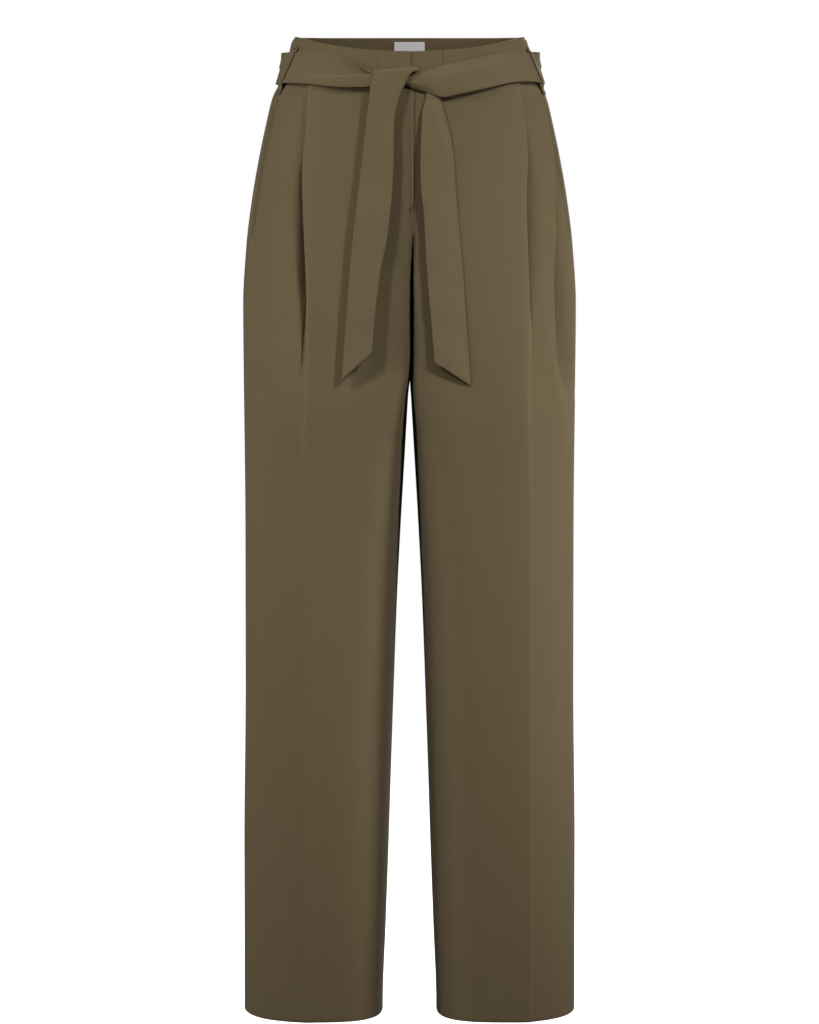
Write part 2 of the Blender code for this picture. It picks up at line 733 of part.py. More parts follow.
def build():
    for old in list(bpy.data.objects):
        bpy.data.objects.remove(old, do_unlink=True)
    cloth = finish("olive_twill", CLOTH_COLOUR, CLOTH_ROUGHNESS)
    belt_cloth = finish("belt_twill", BELT_COLOUR, CLOTH_ROUGHNESS)
    label_cloth = finish("label_satin", LABEL_COLOUR, LABEL_ROUGHNESS)
    pieces = panels(cloth) + waistband(cloth) + belt_loops(cloth)
    pieces.append(belt_band(belt_cloth))
    pieces.append(hanging_end("belt_drape", DRAPE, belt_cloth))
    pieces.append(hanging_end("belt_tail", TAIL, belt_cloth))
    pieces.append(size_label(label_cloth))
    trousers = bpy.data.collections.new("tie_belt_trousers")
    bpy.context.scene.collection.children.link(trousers)
    for piece in pieces:
        trousers.objects.link(piece)


build()
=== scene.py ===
"""Looks of the wide-leg trousers with a tie belt: cloth, seams, stitching and knot.

Sizes are in millimetres until a mesh is made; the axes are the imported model's.
"""

import math
from collections import namedtuple

import bpy
import numpy as np
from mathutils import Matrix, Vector


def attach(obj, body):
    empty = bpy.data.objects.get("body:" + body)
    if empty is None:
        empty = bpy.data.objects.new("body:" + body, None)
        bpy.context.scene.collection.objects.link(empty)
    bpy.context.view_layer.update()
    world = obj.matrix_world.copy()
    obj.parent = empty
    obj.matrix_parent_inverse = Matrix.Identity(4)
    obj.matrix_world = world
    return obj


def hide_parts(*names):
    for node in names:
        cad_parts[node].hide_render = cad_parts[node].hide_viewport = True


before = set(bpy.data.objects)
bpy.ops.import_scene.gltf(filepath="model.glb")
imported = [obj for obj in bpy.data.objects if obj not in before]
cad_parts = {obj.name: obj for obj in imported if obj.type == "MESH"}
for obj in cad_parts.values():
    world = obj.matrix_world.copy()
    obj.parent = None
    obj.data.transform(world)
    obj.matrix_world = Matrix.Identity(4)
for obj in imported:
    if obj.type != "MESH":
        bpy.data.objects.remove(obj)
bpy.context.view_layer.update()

MM = 0.001

# Walls of the pieces, and the air between them.
CLOTH = 1.1
BAND_WALL = 2.0
BELT_WALL = 1.8
LOOP_WALL = 1.6
LABEL_WALL = 1.0
HALF_SEAM = 0.1             # air between two sewn edges, each side
REST_GAP = 0.3
INSEAM_AIR = 0.17           # air beside each leg where the two touch

HEM = -1064.0
BAND_HEIGHT = 45.0

# Sections of the hips and the legs, the inner thighs' wall and the lap of the fronts.
HIP_FULLNESS = 2.35
LEG_FULLNESS = 2.2
FRONT_RISE_TOP = -190.0
BACK_RISE_TOP = -165.0
CROTCH = -285.0
SOFT_BLEND_TOP = -150.0
SOFT_BLEND_END = -410.0
CORNER_PART = 0.3
CORNER_WIDTH = 4.0
WALL_LEAD = 28.0
WALL_RISE = 35.0
WALL_CURVE = 2.5
WALL_CURVE_START = 0.15
WALL_CURVE_FALL = 0.4
CORNER_EVEN_TOP = -370.0
CORNER_EVEN_FALL = 180.0
LAP_SHIFT = 4.0
THIGH_SHIFT = 2.5
LAP_REACH = 30.0
LAP_FRONT = -90.0
LAP_DEPTH = 80.0
LAP_END = -200.0
LAP_FADE = 60.0
TOUCH_END = -340.0
TOUCH_FADE = 45.0

# The pleat's fold in the cloth, and the pressed crease.
FOLD_RADIUS = 0.85
FOLD_ARC = 2.64
FOLD_STEPS = 8
PLEAT_REACH = 48.0
SHUT_FROM = 40.0            # how far the fold is turned where its lip starts to close
SHUT_OVER = 80.0
CREASE_REACH = 14.0
CREASE_ROUND = 0.6
CREASE_FLAT = 11.0
CREASE_EASE = 0.42          # share by which the cloth lies flatter outside the crease
BACK_CREASE_TURN = 110.0

# Turns round the waist are in degrees from the centre front.
TAB_TURN = 11.8
SIDE_SEAM_TURN = {-1: 71.0, 1: 76.0}
LOOP_WIDTH = 11.0
SIDE_LOOP_TURN = {-1: 71.0, 1: 78.0}
SIDE_LOOP_SLANT = {-1: -3.5, 1: 1.0}
BACK_LOOP_TURN = 146.0
LABEL_WIDTH = 34.0
LABEL_TOP = 4.0
LABEL_BOTTOM = -34.0

SEAM_SINK = 0.9             # a sewn edge sinks this far, over this width
SEAM_WIDTH = 1.7
END_SINK = 0.6              # the same at a panel's upper end
CROTCH_EASE = 0.4           # the centre seam sinks less at the crotch by this share
CROTCH_EASE_BELOW = 14.0
CROTCH_EASE_FADE = 10.0
HEM_FOLD = 0.75             # radius of the hem's fold
HEM_DEPTH = 36.0
HEM_TURNS = (25, 50, 75, 105, 130, 155, 180)
HEM_LIFTS = (2.5, 6, 11, 17, 23, 29, 33, HEM_DEPTH)
FLY_END = -181.0
FLY_FADE = 4.0
FLY_LAP = {-1: (0.9, 9.0), 1: (-0.72, 4.0)}     # how far each front stands out, and how wide
POCKET_TOP = -66.0          # the pocket's opening in the side seam
POCKET_END = -214.0
POCKET_FADE = 6.0
POCKET_LIP = 0.6
POCKET_LIP_WIDTH = 3.0
POCKET_SINK = 1.8
POCKET_SINK_WIDTH = 7.0

# How much lighter the cloth is at seams and pressed edges; painted shade at the pockets' opening
# and a painted highlight on the back's rim beside it.
SIDE_TINT, CENTRE_TINT, SEAM_TINT_WIDTH = 0.5, 0.3, 3.0
PLEAT_TINT, CREASE_TINT, PRESS_WIDTH = 0.4, 0.8, 1.6
CREASE_TINT_TOP, CREASE_TINT_FADE = -200.0, 100.0
PRESS_END, PRESS_FADE = -552.0, 160.0
# Painted shade on the front's edge and in the back's band at the pocket's opening, and a painted
# highlight on the back's rim, this far from the seam and this wide.
POCKET_LIP_PAINTED_SHADE, POCKET_LIP_SHADE_WIDTH = -2.4, 3.2
POCKET_INSIDE_PAINTED_SHADE, POCKET_INSIDE_SHADE_WIDTH = -1.5, 10.5
POCKET_RIM_PAINTED_HIGHLIGHT, POCKET_RIM_HIGHLIGHT_AWAY, POCKET_RIM_HIGHLIGHT_WIDTH = 0.8, 17.0, 4.5

Edge = namedtuple("Edge", "side dip rise")
BAND_TOP = Edge(6.5, 20.0, 2.0)
BAND_FOOT = Edge(-43.5, 8.0, 7.0)

Outline = namedtuple("Outline", "height half_width front back")
OUTLINE = (
    Outline(9, 127.2, 96.0, 98.0),
    Outline(0, 128.2, 97.0, 99.0),
    Outline(-13, 130.8, 98.2, 100.6),
    Outline(-45, 141.5, 102.0, 105.5),
    Outline(-60, 149.0, 104.5, 109.0),
    Outline(-90, 156.5, 108.0, 115.5),
    Outline(-123, 163.5, 111.5, 121.5),
    Outline(-172, 172.1, 115.0, 128.5),
    Outline(-222, 178.3, 117.0, 131.0),
    Outline(-287, 182.0, 117.5, 129.0),
    Outline(-370, 181.4, 116.0, 121.0),
    Outline(-524, 180.0, 110.0, 111.0),
    Outline(-701, 180.0, 106.0, 106.0),
    Outline(-879, 182.0, 103.0, 103.0),
    Outline(-1064, 182.0, 101.0, 101.0),
)

Leg = namedtuple("Leg", "height gap square")
LEG = (
    Leg(-190, 0.0, 22.0),
    Leg(-285, 0.0, 18.0),
    Leg(-340, 0.0, 15.0),
    Leg(-364, 0.0, 11.0),
    Leg(-388, 1.5, 8.0),
    Leg(-436, 4.2, 5.0),
    Leg(-524, 9.3, 3.8),
    Leg(-612, 13.7, 3.3),
    Leg(-701, 17.0, 3.1),
    Leg(-790, 20.0, 3.0),
    Leg(-879, 22.8, 3.0),
    Leg(-968, 26.0, 3.0),
    Leg(-1064, 29.4, 3.0),
)

Lines = namedtuple("Lines", "height inseam crease side back")
LINES = {
    -1: (
        Lines(-45, 0, 108.5, 71.0, 142),
        Lines(-70, 0, 108.9, 71.1, 142),
        Lines(-109, 0, 111.6, 71.4, 142),
        Lines(-130, 0, 113.6, 71.4, 142),
        Lines(-152, 0, 114.0, 71.2, 142),
        Lines(-173, 0, 113.3, 71.0, 142),
        Lines(-227, 0, 111.0, 72.0, 142),
        Lines(-253, 0, 109.8, 73.8, 144),
        Lines(-285, 0, 108.4, 76.0, 146),
        Lines(-320, 1, 108.4, 79.0, 148.5),
        Lines(-370, 3, 109.4, 83.0, 152),
        Lines(-440, 6, 112.4, 87.0, 157),
        Lines(-700, 11, 112.4, 94.0, 164),
        Lines(-1064, 11, 112.6, 95.0, 165),
    ),
    1: (
        Lines(-45, 0, 117.5, 76.0, 142),
        Lines(-77, 0, 121.2, 76.0, 142),
        Lines(-98, 0, 123.9, 76.0, 142),
        Lines(-120, 0, 125.5, 76.0, 142),
        Lines(-141, 0, 125.2, 76.2, 142),
        Lines(-175, 0, 124.0, 76.5, 142),
        Lines(-216, 0, 124.8, 76.8, 142),
        Lines(-248, 0, 126.0, 78.5, 144),
        Lines(-285, 0, 127.2, 81.0, 146),
        Lines(-370, 6, 126.6, 88.0, 156),
        Lines(-458, 14, 127.8, 94.0, 164),
        Lines(-583, 28, 128.8, 100.0, 171),
        Lines(-656, 32, 128.9, 102.0, 174),
        Lines(-818, 32, 129.1, 104.0, 175),
        Lines(-1064, 27, 129.4, 103.0, 173),
    ),
}

# How deep the cloth sinks beside the lip of the pleat, and how far out.
Trench = namedtuple("Trench", "height depth reach sharp")
TRENCH = {
    -1: (
        Trench(-60, 0.4, 2.0, 2.0),
        Trench(-109, 1.6, 2.2, 2.0),
        Trench(-130, 4.0, 3.4, 2.4),
        Trench(-152, 7.5, 5.6, 3.0),
        Trench(-200, 9.0, 7.2, 3.0),
        Trench(-253, 9.0, 8.6, 3.0),
        Trench(-285, 6.0, 8.4, 2.6),
        Trench(-312, 3.6, 7.6, 2.2),
        Trench(-345, 1.8, 6.0, 2.0),
        Trench(-390, 0.0, 6.0, 2.0),
    ),
    1: (
        Trench(-60, 0.4, 2.0, 2.0),
        Trench(-98, 2.4, 3.0, 1.8),
        Trench(-120, 7.0, 5.5, 1.5),
        Trench(-141, 9.0, 7.4, 1.4),
        Trench(-190, 9.0, 8.4, 1.4),
        Trench(-216, 7.5, 7.8, 1.4),
        Trench(-248, 5.4, 6.4, 1.5),
        Trench(-280, 2.6, 5.2, 1.8),
        Trench(-320, 0.0, 4.6, 2.0),
    ),
}

Pleat = namedtuple("Pleat", "height closed middle")
PLEAT = (
    Pleat(-45, 178, 14.0),
    Pleat(-120, 172, 13.0),
    Pleat(-173, 160, 9.0),
    Pleat(-227, 130, 5.0),
    Pleat(-260, 95, 3.5),
    Pleat(-281, 70, 3.0),
    Pleat(-313, 45, 3.0),
    Pleat(-367, 14, 3.0),
    Pleat(-421, 2.5, 3.0),
    Pleat(-1064, 2, 3.0),
)

Crease = namedtuple("Crease", "height front back")
CREASE = (
    Crease(-270, 0.0, 0.0),
    Crease(-340, 1.2, 0.6),
    Crease(-430, 2.2, 1.6),
    Crease(-1064, 2.6, 2.2),
)

Row = namedtuple("Row", "number seam side")
LEG_ROWS = (
    Row(12, -285, -330), Row(13, -300, -346), Row(14, -320, -363), Row(15, -345, -383),
    Row(16, -370, -405), Row(17, -400, -433), Row(18, -440, -469), Row(19, -490, -513),
    Row(20, -550, -566), Row(21, -620, -630), Row(22, -700, -705), Row(23, -790, -792),
    Row(24, -880, -880), Row(25, -970, -970), Row(26, HEM, HEM),
)
RISE_STEPS = 5
CROTCH_STEPS = 7
SIDE_RISE_END = -150.0
SIDE_CROTCH_END = -330.0
FAN_ZONE = 0.2

Course = namedtuple("Course", "turn top bottom lift bulge")
COURSE = (
    Course(11.5, -39.5, -51.0, 3.6, 2.4),
    Course(13.5, -37.6, -53.0, 3.6, 3.0),
    Course(22, -25.0, -53.5, 3.6, 2.2),
    Course(33, -17.6, -52.0, 3.6, 1.2),
    Course(46, -14.4, -49.4, 3.6, 0.5),
    Course(61, -13.6, -48.2, 3.6, 0.0),
    Course(75, -14.8, -48.0, 3.6, 0.0),
    Course(100, -12.5, -47.5, 3.6, 0.0),
    Course(140, -4.0, -39.8, 3.6, 0.0),
    Course(180, -1.0, -37.0, 3.6, 0.0),
    Course(220, -4.0, -39.8, 3.6, 0.0),
    Course(260, -12.5, -47.5, 3.6, 0.0),
    Course(284, -14.8, -48.0, 3.6, 0.0),
    Course(297, -14.0, -46.5, 3.6, 0.0),
    Course(313, -14.7, -47.5, 3.6, 0.3),
    Course(324, -18.3, -51.6, 3.7, 0.8),
    Course(336, -23.6, -57.0, 4.2, 1.4),
    Course(343.5, -27.4, -60.5, 4.8, 1.5),
    Course(350, -30.6, -63.5, 5.2, 1.5),
    Course(353.4, -33.0, -60.8, 5.2, 1.5),
    Course(356.8, -35.0, -57.4, 5.2, 1.5),
    Course(359.4, -37.0, -55.2, 5.2, 1.5),
    Course(363, -39.0, -50.0, 5.2, 1.4),
)

Tail = namedtuple("Tail", "height left right lift slope")
DRAPE = (
    Tail(-33.4, -38.5, 9.0, 2.5, 0.11),
    Tail(-33.0, -38.6, 9.0, 5.6, 0.11),
    Tail(-34.8, -38.9, 8.0, 9.2, 0.10),
    Tail(-39.5, -39.4, 1.6, 9.7, 0.08),
    Tail(-44.6, -40.6, -3.2, 9.7, 0.04),
    Tail(-50.0, -41.5, -5.4, 9.5, 0.0),
    Tail(-58.5, -42.3, -9.7, 9.4, 0.0),
    Tail(-78.0, -44.4, -15.0, 9.4, 0.0),
    Tail(-99.0, -47.0, -17.1, 9.5, 0.0),
    Tail(-130.0, -50.2, -17.1, 9.6, 0.0),
    Tail(-160.0, -54.0, -18.4, 9.8, 0.0),
    Tail(-190.0, -57.3, -21.4, 10.0, 0.0),
    Tail(-217.0, -60.4, -24.8, 10.2, 0.0),
    Tail(-248.0, -63.2, -31.1, 10.4, 0.0),
    Tail(-281.0, -66.0, -35.4, 10.6, 0.1),
    Tail(-314.0, -69.0, -38.6, 10.8, 0.35),
    Tail(-350.0, -71.9, -40.8, 11.0, 0.90),
)
TAIL = (
    Tail(-55.0, 19.0, 30.5, 2.4, 0.0),
    Tail(-66.0, 17.3, 33.0, 2.5, 0.0),
    Tail(-71.0, 15.8, 34.2, 3.2, 0.0),
    Tail(-80.0, 13.9, 36.6, 4.4, 0.0),
    Tail(-99.0, 12.9, 42.2, 5.4, 0.0),
    Tail(-120.0, 12.0, 46.0, 5.8, 0.0),
    Tail(-142.0, 11.8, 47.6, 6.0, 0.0),
    Tail(-163.0, 12.8, 49.2, 6.0, 0.0),
    Tail(-195.0, 16.0, 51.8, 6.0, 0.0),
    Tail(-237.0, 18.2, 55.7, 6.0, 0.0),
    Tail(-281.0, 21.4, 59.0, 6.0, -0.05),
    Tail(-323.0, 24.7, 62.4, 6.0, -0.3),
    Tail(-358.7, 26.8, 65.5, 6.0, -0.66),
)
TAIL_ARCH = 1.0

Strip = namedtuple("Strip", "lift height")
SIDE_LOOP = (
    Strip(2.1, -7.5), Strip(2.1, -11.0), Strip(4.6, -13.0), Strip(5.2, -16.5), Strip(6.2, -31.0),
    Strip(7.0, -43.0), Strip(6.6, -47.4), Strip(3.0, -51.0), Strip(1.75, -53.4),
    Strip(1.75, -58.5),
)
BACK_LOOP = (
    Strip(2.1, 2.6), Strip(2.1, -0.4), Strip(5.0, -1.4), Strip(5.6, -3.4), Strip(5.8, -20.0),
    Strip(6.0, -37.0), Strip(5.6, -41.2), Strip(2.1, -45.6), Strip(1.75, -50.6),
)

# Soft folds: height of the ridge (or depth of the trough), its width, how far and how wide the
# cloth drops on its outer side, and its path with a strength.
Fold = namedtuple("Fold", "piece rise width drop reach path")
FOLDS = (
    Fold("front_left", 2.6, 8.0, 8.5, 6.5, (
        (154.8, -112, 0.0), (155.6, -150, 0.7), (156.0, -200, 1.0), (156.0, -303, 1.0),
        (155.4, -325, 0.6), (155.0, -345, 0.0),
    )),
    Fold("front_left", 3.0, 6.2, 0.0, 0.0, (
        (151.0, -300, 0.0), (153.6, -335, 0.8), (158.4, -362, 1.0), (163.2, -390, 1.0),
        (166.8, -420, 0.8), (169.0, -470, 0.3), (170.0, -560, 0.0),
    )),
    Fold("front_left", -8.0, 8.0, 0.0, 0.0, (
        (160.0, -215, 0.0), (162.5, -262, 0.7), (166.0, -310, 1.0), (168.5, -345, 0.9),
        (171.5, -372, 0.4), (174.0, -392, 0.0),
    )),
    Fold("front_right", -0.5, 1.2, 0.0, 0.0, (
        (-104.5, -262, 0.0), (-104.5, -285, 1.0), (-105.8, -345, 0.8), (-107.0, -385, 0.0),
    )),
    Fold("back_left", 1.8, 9.0, 0.0, 0.0, ((26, -335, 0.9), (58, -366, 1), (98, -392, 0))),
    Fold("back_left", 1.5, 10.0, 0.0, 0.0, ((22, -392, 0.8), (52, -432, 1), (86, -470, 0))),
    Fold("back_left", -1.6, 14.0, 0.0, 0.0, ((130, -300, 0), (136, -420, 1), (128, -600, 0))),
    Fold("back_left", 1.2, 12.0, 0.0, 0.0, ((40, -640, 0), (70, -628, 1), (112, -650, 0))),
    Fold("back_right", 1.8, 9.0, 0.0, 0.0, ((-26, -328, 0.9), (-60, -352, 1), (-104, -370, 0))),
    Fold("back_right", 1.4, 11.0, 0.0, 0.0, ((-22, -384, 0.8), (-48, -418, 1), (-90, -462, 0))),
    Fold("back_right", -1.6, 13.0, 0.0, 0.0, ((-134, -290, 0), (-140, -410, 1), (-130, -560, 0))),
    Fold("back_right", 1.2, 12.0, 0.0, 0.0, ((-46, -610, 0), (-78, -602, 1), (-118, -618, 0))),
)
FOLD_EDGE = 1.4             # width of the step from a ridge to the drop beside it
FOLD_PAINTED_LIGHT = 0.2             # painted highlight per millimetre of ridge, and painted shade per millimetre of trough
FOLD_LIP_PAINTED_HIGHLIGHT = 0.9         # painted highlight on the lip above a drop, over this width
FOLD_LIP_HIGHLIGHT_WIDTH = 1.8
HOLLOW_PAINTED_SHADE = -1.9          # and painted shade in the hollow beside it


def smooth(value):
    value = np.clip(value, 0.0, 1.0)
    return value * value * (3.0 - 2.0 * value)


def bell(distance, width):
    """1 at no distance, fading out softly."""
    return np.exp(-((distance / width) ** 2))


def mix(first, second, share):
    return first + (second - first) * share


def power(value, exponent):
    return np.copysign(np.abs(value) ** exponent, value)


def read(table, column, key):
    """Values of a table's column, on a smooth curve through its rows."""
    keys = np.array([row[0] for row in table], float)
    values = np.array([getattr(row, column) for row in table], float)
    if keys[0] > keys[-1]:
        keys, values = keys[::-1], values[::-1]
    widths = np.diff(keys)
    steps = np.diff(values) / widths
    product = steps[:-1] * steps[1:]
    total = steps[:-1] + steps[1:]
    slopes = np.zeros(len(keys))
    slopes[1:-1] = np.where(product > 0.0, 2.0 * product / np.where(total == 0.0, 1.0, total), 0.0)
    key = np.clip(key, keys[0], keys[-1])
    index = np.clip(np.searchsorted(keys, key) - 1, 0, len(keys) - 2)
    width = widths[index]
    share = (key - keys[index]) / width
    square, cube = share ** 2, share ** 3
    return (
        values[index] * (2 * cube - 3 * square + 1)
        + slopes[index] * width * (cube - 2 * square + share)
        + values[index + 1] * (3 * square - 2 * cube)
        + slopes[index + 1] * width * (cube - square)
    )


def points(across, depth, height):
    return np.stack(np.broadcast_arrays(across, depth, height), axis=-1).astype(float)


def unit(vectors):
    return vectors / np.maximum(np.linalg.norm(vectors, axis=-1, keepdims=True), 1e-9)


def run_along(path):
    """Distance along a path to each of its points."""
    return np.concatenate([[0.0], np.cumsum(np.linalg.norm(np.diff(path, axis=0), axis=1))])


def between(values, run, at):
    """Values between a path's points, at distances along it."""
    return np.stack([np.interp(at, run, column) for column in values.T], axis=1)


def edge_height(edge, turn):
    level = np.cos(np.radians(turn))
    return edge.side + np.where(level > 0, -edge.dip, edge.rise) * level ** 2


def hip_ring(turn, height):
    angle = np.radians(turn)
    exponent = 2.0 / HIP_FULLNESS
    across = read(OUTLINE, "half_width", height) * power(np.sin(angle), exponent)
    front, back = read(OUTLINE, "front", height), read(OUTLINE, "back", height)
    return across, -np.where(np.cos(angle) > 0, front, back) * power(np.cos(angle), exponent)


def leg_ring(turn, height):
    angle = np.radians(turn)
    inner = read(LEG, "gap", height) + CLOTH / 2 + INSEAM_AIR
    outer = read(OUTLINE, "half_width", height)
    square = np.where(np.cos(angle) > 0, read(LEG, "square", height), LEG_FULLNESS)
    size = (np.abs(np.cos(angle)) ** square + np.abs(np.sin(angle)) ** square) ** (1.0 / square)
    across = (inner + outer) / 2 - (outer - inner) / 2 * np.cos(angle) / size
    front, back = read(OUTLINE, "front", height), read(OUTLINE, "back", height)
    return across, -np.where(np.sin(angle) > 0, front, back) * np.sin(angle) / size


def crease_turns(side, height):
    across = read(LINES[side], "crease", height)
    outer = read(OUTLINE, "half_width", height)
    on_hip = np.degrees(np.arcsin((across / outer) ** (HIP_FULLNESS / 2)))
    inner = read(LEG, "gap", height)
    from_middle = (across - (inner + outer) / 2) / ((outer - inner) / 2)
    forward = (1.0 - np.abs(from_middle) ** LEG_FULLNESS) ** (1.0 / LEG_FULLNESS)
    return on_hip, 90.0 + np.degrees(np.arctan(from_middle / forward))


def hip_inner(in_front, part, edge, height):
    """The hips from the centre seam to a crease, with the wall of the inner thigh."""
    top = np.where(in_front, FRONT_RISE_TOP, BACK_RISE_TOP)
    fall = np.clip((top - height) / (top - CROTCH), 0.0, 1.0)
    apart = smooth((top + WALL_LEAD - height) / WALL_RISE)
    curve = mix(1.0, WALL_CURVE, smooth((fall - WALL_CURVE_START) / WALL_CURVE_FALL))
    outer = read(OUTLINE, "half_width", height)
    reach = np.where(in_front, read(OUTLINE, "front", height), read(OUTLINE, "back", height))
    on_wall = np.minimum(1.0, part / CORNER_PART)
    across = mix((CLOTH / 2 + HALF_SEAM) * apart, CORNER_WIDTH, on_wall ** curve)
    across = mix(across, edge, np.maximum(0.0, (part - CORNER_PART) / (1.0 - CORNER_PART)))
    full = reach * (1.0 - (across / outer) ** HIP_FULLNESS) ** (1.0 / HIP_FULLNESS)
    depth = mix(reach * np.sqrt(1.0 - fall ** 2), full, on_wall)
    return across, np.where(in_front, -depth, depth)


def leg_turn_inner(in_front, part, inseam, crease, height):
    """Direction on the leg's section from the inseam to a crease."""
    way = np.where(in_front, 1.0, -1.0)
    top = np.where(in_front, FRONT_RISE_TOP, BACK_RISE_TOP)
    fall = np.clip((top - height) / (top - CROTCH), 0.0, 1.0)
    start = inseam + way * np.degrees(np.arctan(np.sqrt(1.0 - fall ** 2)))
    even = smooth((CORNER_EVEN_TOP - height) / CORNER_EVEN_FALL)
    corner = mix(way * 45.0, mix(start, crease, CORNER_PART), even)
    return np.where(
        part < CORNER_PART,
        mix(start, corner, part / CORNER_PART),
        mix(corner, crease, (part - CORNER_PART) / (1.0 - CORNER_PART)),
    )


def section(side, share, height):
    """(across, depth) on the hip's and the leg's section, from the centre front or inseam (0)
    past the front crease (0.25), side seam (0.5) and back crease (0.75) to 1."""
    share, height = np.broadcast_arrays(np.asarray(share, float), np.asarray(height, float))
    in_front = share < 0.5
    crease_hip, crease_leg = crease_turns(side, height)
    inseam = read(LINES[side], "inseam", height)
    side_turn = read(LINES[side], "side", height)
    back_turn = read(LINES[side], "back", height)
    part = np.clip(np.where(in_front, share * 4 - 1, share * 4 - 2), 0.0, 1.0)
    start_hip = np.where(in_front, crease_hip, side_turn)
    end_hip = np.where(in_front, side_turn, back_turn)
    start_leg = np.where(in_front, crease_leg, 90.0 + side_turn)
    end_leg = np.where(in_front, 90.0 + side_turn, BACK_CREASE_TURN + back_turn)
    hip = hip_ring(mix(start_hip, end_hip, part), height)
    leg = leg_ring(mix(start_leg, end_leg, part), height)
    part = np.clip(np.minimum(share, 1.0 - share) * 4.0, 0.0, 1.0)
    edge = hip_ring(np.where(in_front, crease_hip, back_turn), height)[0]
    crease = np.where(in_front, crease_leg, BACK_CREASE_TURN + back_turn - 360.0)
    inner_hip = hip_inner(in_front, part, edge, height)
    turn = leg_turn_inner(in_front, part, inseam, crease, height)
    inner_leg = leg_ring(turn, height)
    outside = (share >= 0.25) & (share <= 0.75)
    return (
        tuple(np.where(outside, a, b) for a, b in zip(hip, inner_hip)),
        tuple(np.where(outside, a, b) for a, b in zip(leg, inner_leg)),
    )


def place(side, across, depth, height):
    in_front = 1.0 - smooth((depth - LAP_FRONT) / LAP_DEPTH)
    size = mix(LAP_SHIFT, THIGH_SHIFT, smooth((LAP_END - height) / LAP_FADE))
    size = size * (1.0 - smooth((TOUCH_END - height) / TOUCH_FADE))
    return points(side * across + size * in_front * bell(across, LAP_REACH), depth, height)


def panel_point(side, share, height):
    hip, leg = section(side, share, height)
    blend = smooth((SOFT_BLEND_TOP - height) / (SOFT_BLEND_TOP - SOFT_BLEND_END))
    return place(side, mix(hip[0], leg[0], blend), mix(hip[1], leg[1], blend), height)


def panel_frame(side, share, height):
    """The surface's direction towards the side seam, and its normal."""
    before, after = np.maximum(0.0, share - 0.002), np.minimum(1.0, share + 0.002)
    along = panel_point(side, after, height) - panel_point(side, before, height)
    down = panel_point(side, share, height - 2.0) - panel_point(side, share, height + 2.0)
    return unit(along), unit(np.cross(down, along) * side)


def fan_height(side, share, row):
    """Height of a grid row: the rows crowd together at the crotch."""
    depth = section(side, share, -BAND_HEIGHT)[0][1]
    front, back = read(OUTLINE, "front", -BAND_HEIGHT), read(OUTLINE, "back", -BAND_HEIGHT)
    reach = np.where(depth < 0, front, back)
    level = np.copysign(np.minimum(1.0, np.abs(depth) / reach) ** (HIP_FULLNESS / 2), -depth)
    top = edge_height(BAND_FOOT, np.degrees(np.arccos(level))) - REST_GAP
    turn_in = np.where(share < 0.5, FRONT_RISE_TOP, BACK_RISE_TOP)
    rise_part = np.clip(row / RISE_STEPS, 0.0, 1.0)
    crotch_part = np.clip((row - RISE_STEPS) / CROTCH_STEPS, 0.0, 1.0)
    at_seam = mix(mix(top, turn_in, rise_part), CROTCH, np.sin(crotch_part * math.pi / 2))
    at_side = mix(mix(top, SIDE_RISE_END, rise_part), SIDE_CROTCH_END, crotch_part)
    in_leg = row > RISE_STEPS + CROTCH_STEPS
    at_seam = np.where(in_leg, read(LEG_ROWS, "seam", row), at_seam)
    at_side = np.where(in_leg, read(LEG_ROWS, "side", row), at_side)
    return mix(at_seam, at_side, smooth(np.minimum(share, 1.0 - share) / FAN_ZONE))


def fold_steps(height):
    """Points across the folded pleat: along the cloth and out of it, centred on its line."""
    closed = np.radians(read(PLEAT, "closed", height))
    middle = read(PLEAT, "middle", height)
    radius = np.maximum(FOLD_RADIUS, FOLD_ARC / closed)
    turn = closed * np.arange(FOLD_STEPS + 1) / FOLD_STEPS
    along, out = radius * np.sin(turn), -radius * (1.0 - np.cos(turn))
    last_along = 2 * along[:, -1:] + middle * np.cos(closed)
    last_out = 2 * out[:, -1:] - middle * np.sin(closed)
    along = np.concatenate([along, last_along - along[:, ::-1]], axis=1) - last_along / 2
    out = np.concatenate([out, last_out - out[:, ::-1]], axis=1) - last_out / 2
    return along, out


def ridge(column, height, distance, outside=0.0):
    """The pressed crease, and the flatter cloth beside it towards the side seam."""
    sharp = np.sqrt(distance ** 2 + CREASE_ROUND ** 2) - CREASE_ROUND
    flat = outside * distance / CREASE_FLAT * np.exp(1.0 - distance / CREASE_FLAT)
    return read(CREASE, column, height) * (np.exp(-sharp / CREASE_REACH) - CREASE_EASE * flat)


def trench(side, height, place_out):
    depth, reach, sharp = (read(TRENCH[side], key, height) for key in ("depth", "reach", "sharp"))
    return depth * np.exp(-((np.maximum(place_out, 0.0) / reach) ** sharp))


def edge_rise(side, share, row):
    """Rise of a front's upper edge towards the side seam, which fades out below."""
    shares = (np.maximum(0.0, share - 0.01), share + 0.01)
    levels = [fan_height(side, near, 0.0) for near in shares]
    ends = [panel_point(side, near, level) for near, level in zip(shares, levels)]
    slope = (levels[1] - levels[0]) / np.linalg.norm(ends[1] - ends[0], axis=-1)
    rise = slope * np.maximum(0.0, 1.0 - row / RISE_STEPS)
    return points(0.0, 0.0, rise)


def fine(count, first=True, last=False):
    """Even shares from 0 to 1, with close lines at the ends that are sewn."""
    close = np.array([0.0, 0.005, 0.011, 0.019, 0.03])
    start = close if first else np.array([0.0])
    end = 1.0 - close[::-1] if last else np.array([1.0])
    return np.concatenate([start, np.linspace(start[-1], end[0], count)[1:-1], end])


ROWS = np.concatenate([
    [0.0, 0.03, 0.07, 0.12], np.linspace(0.2, 5, 30), np.linspace(5, 12, 43)[1:],
    np.linspace(12, 26, 85)[1:],
])[:, None]


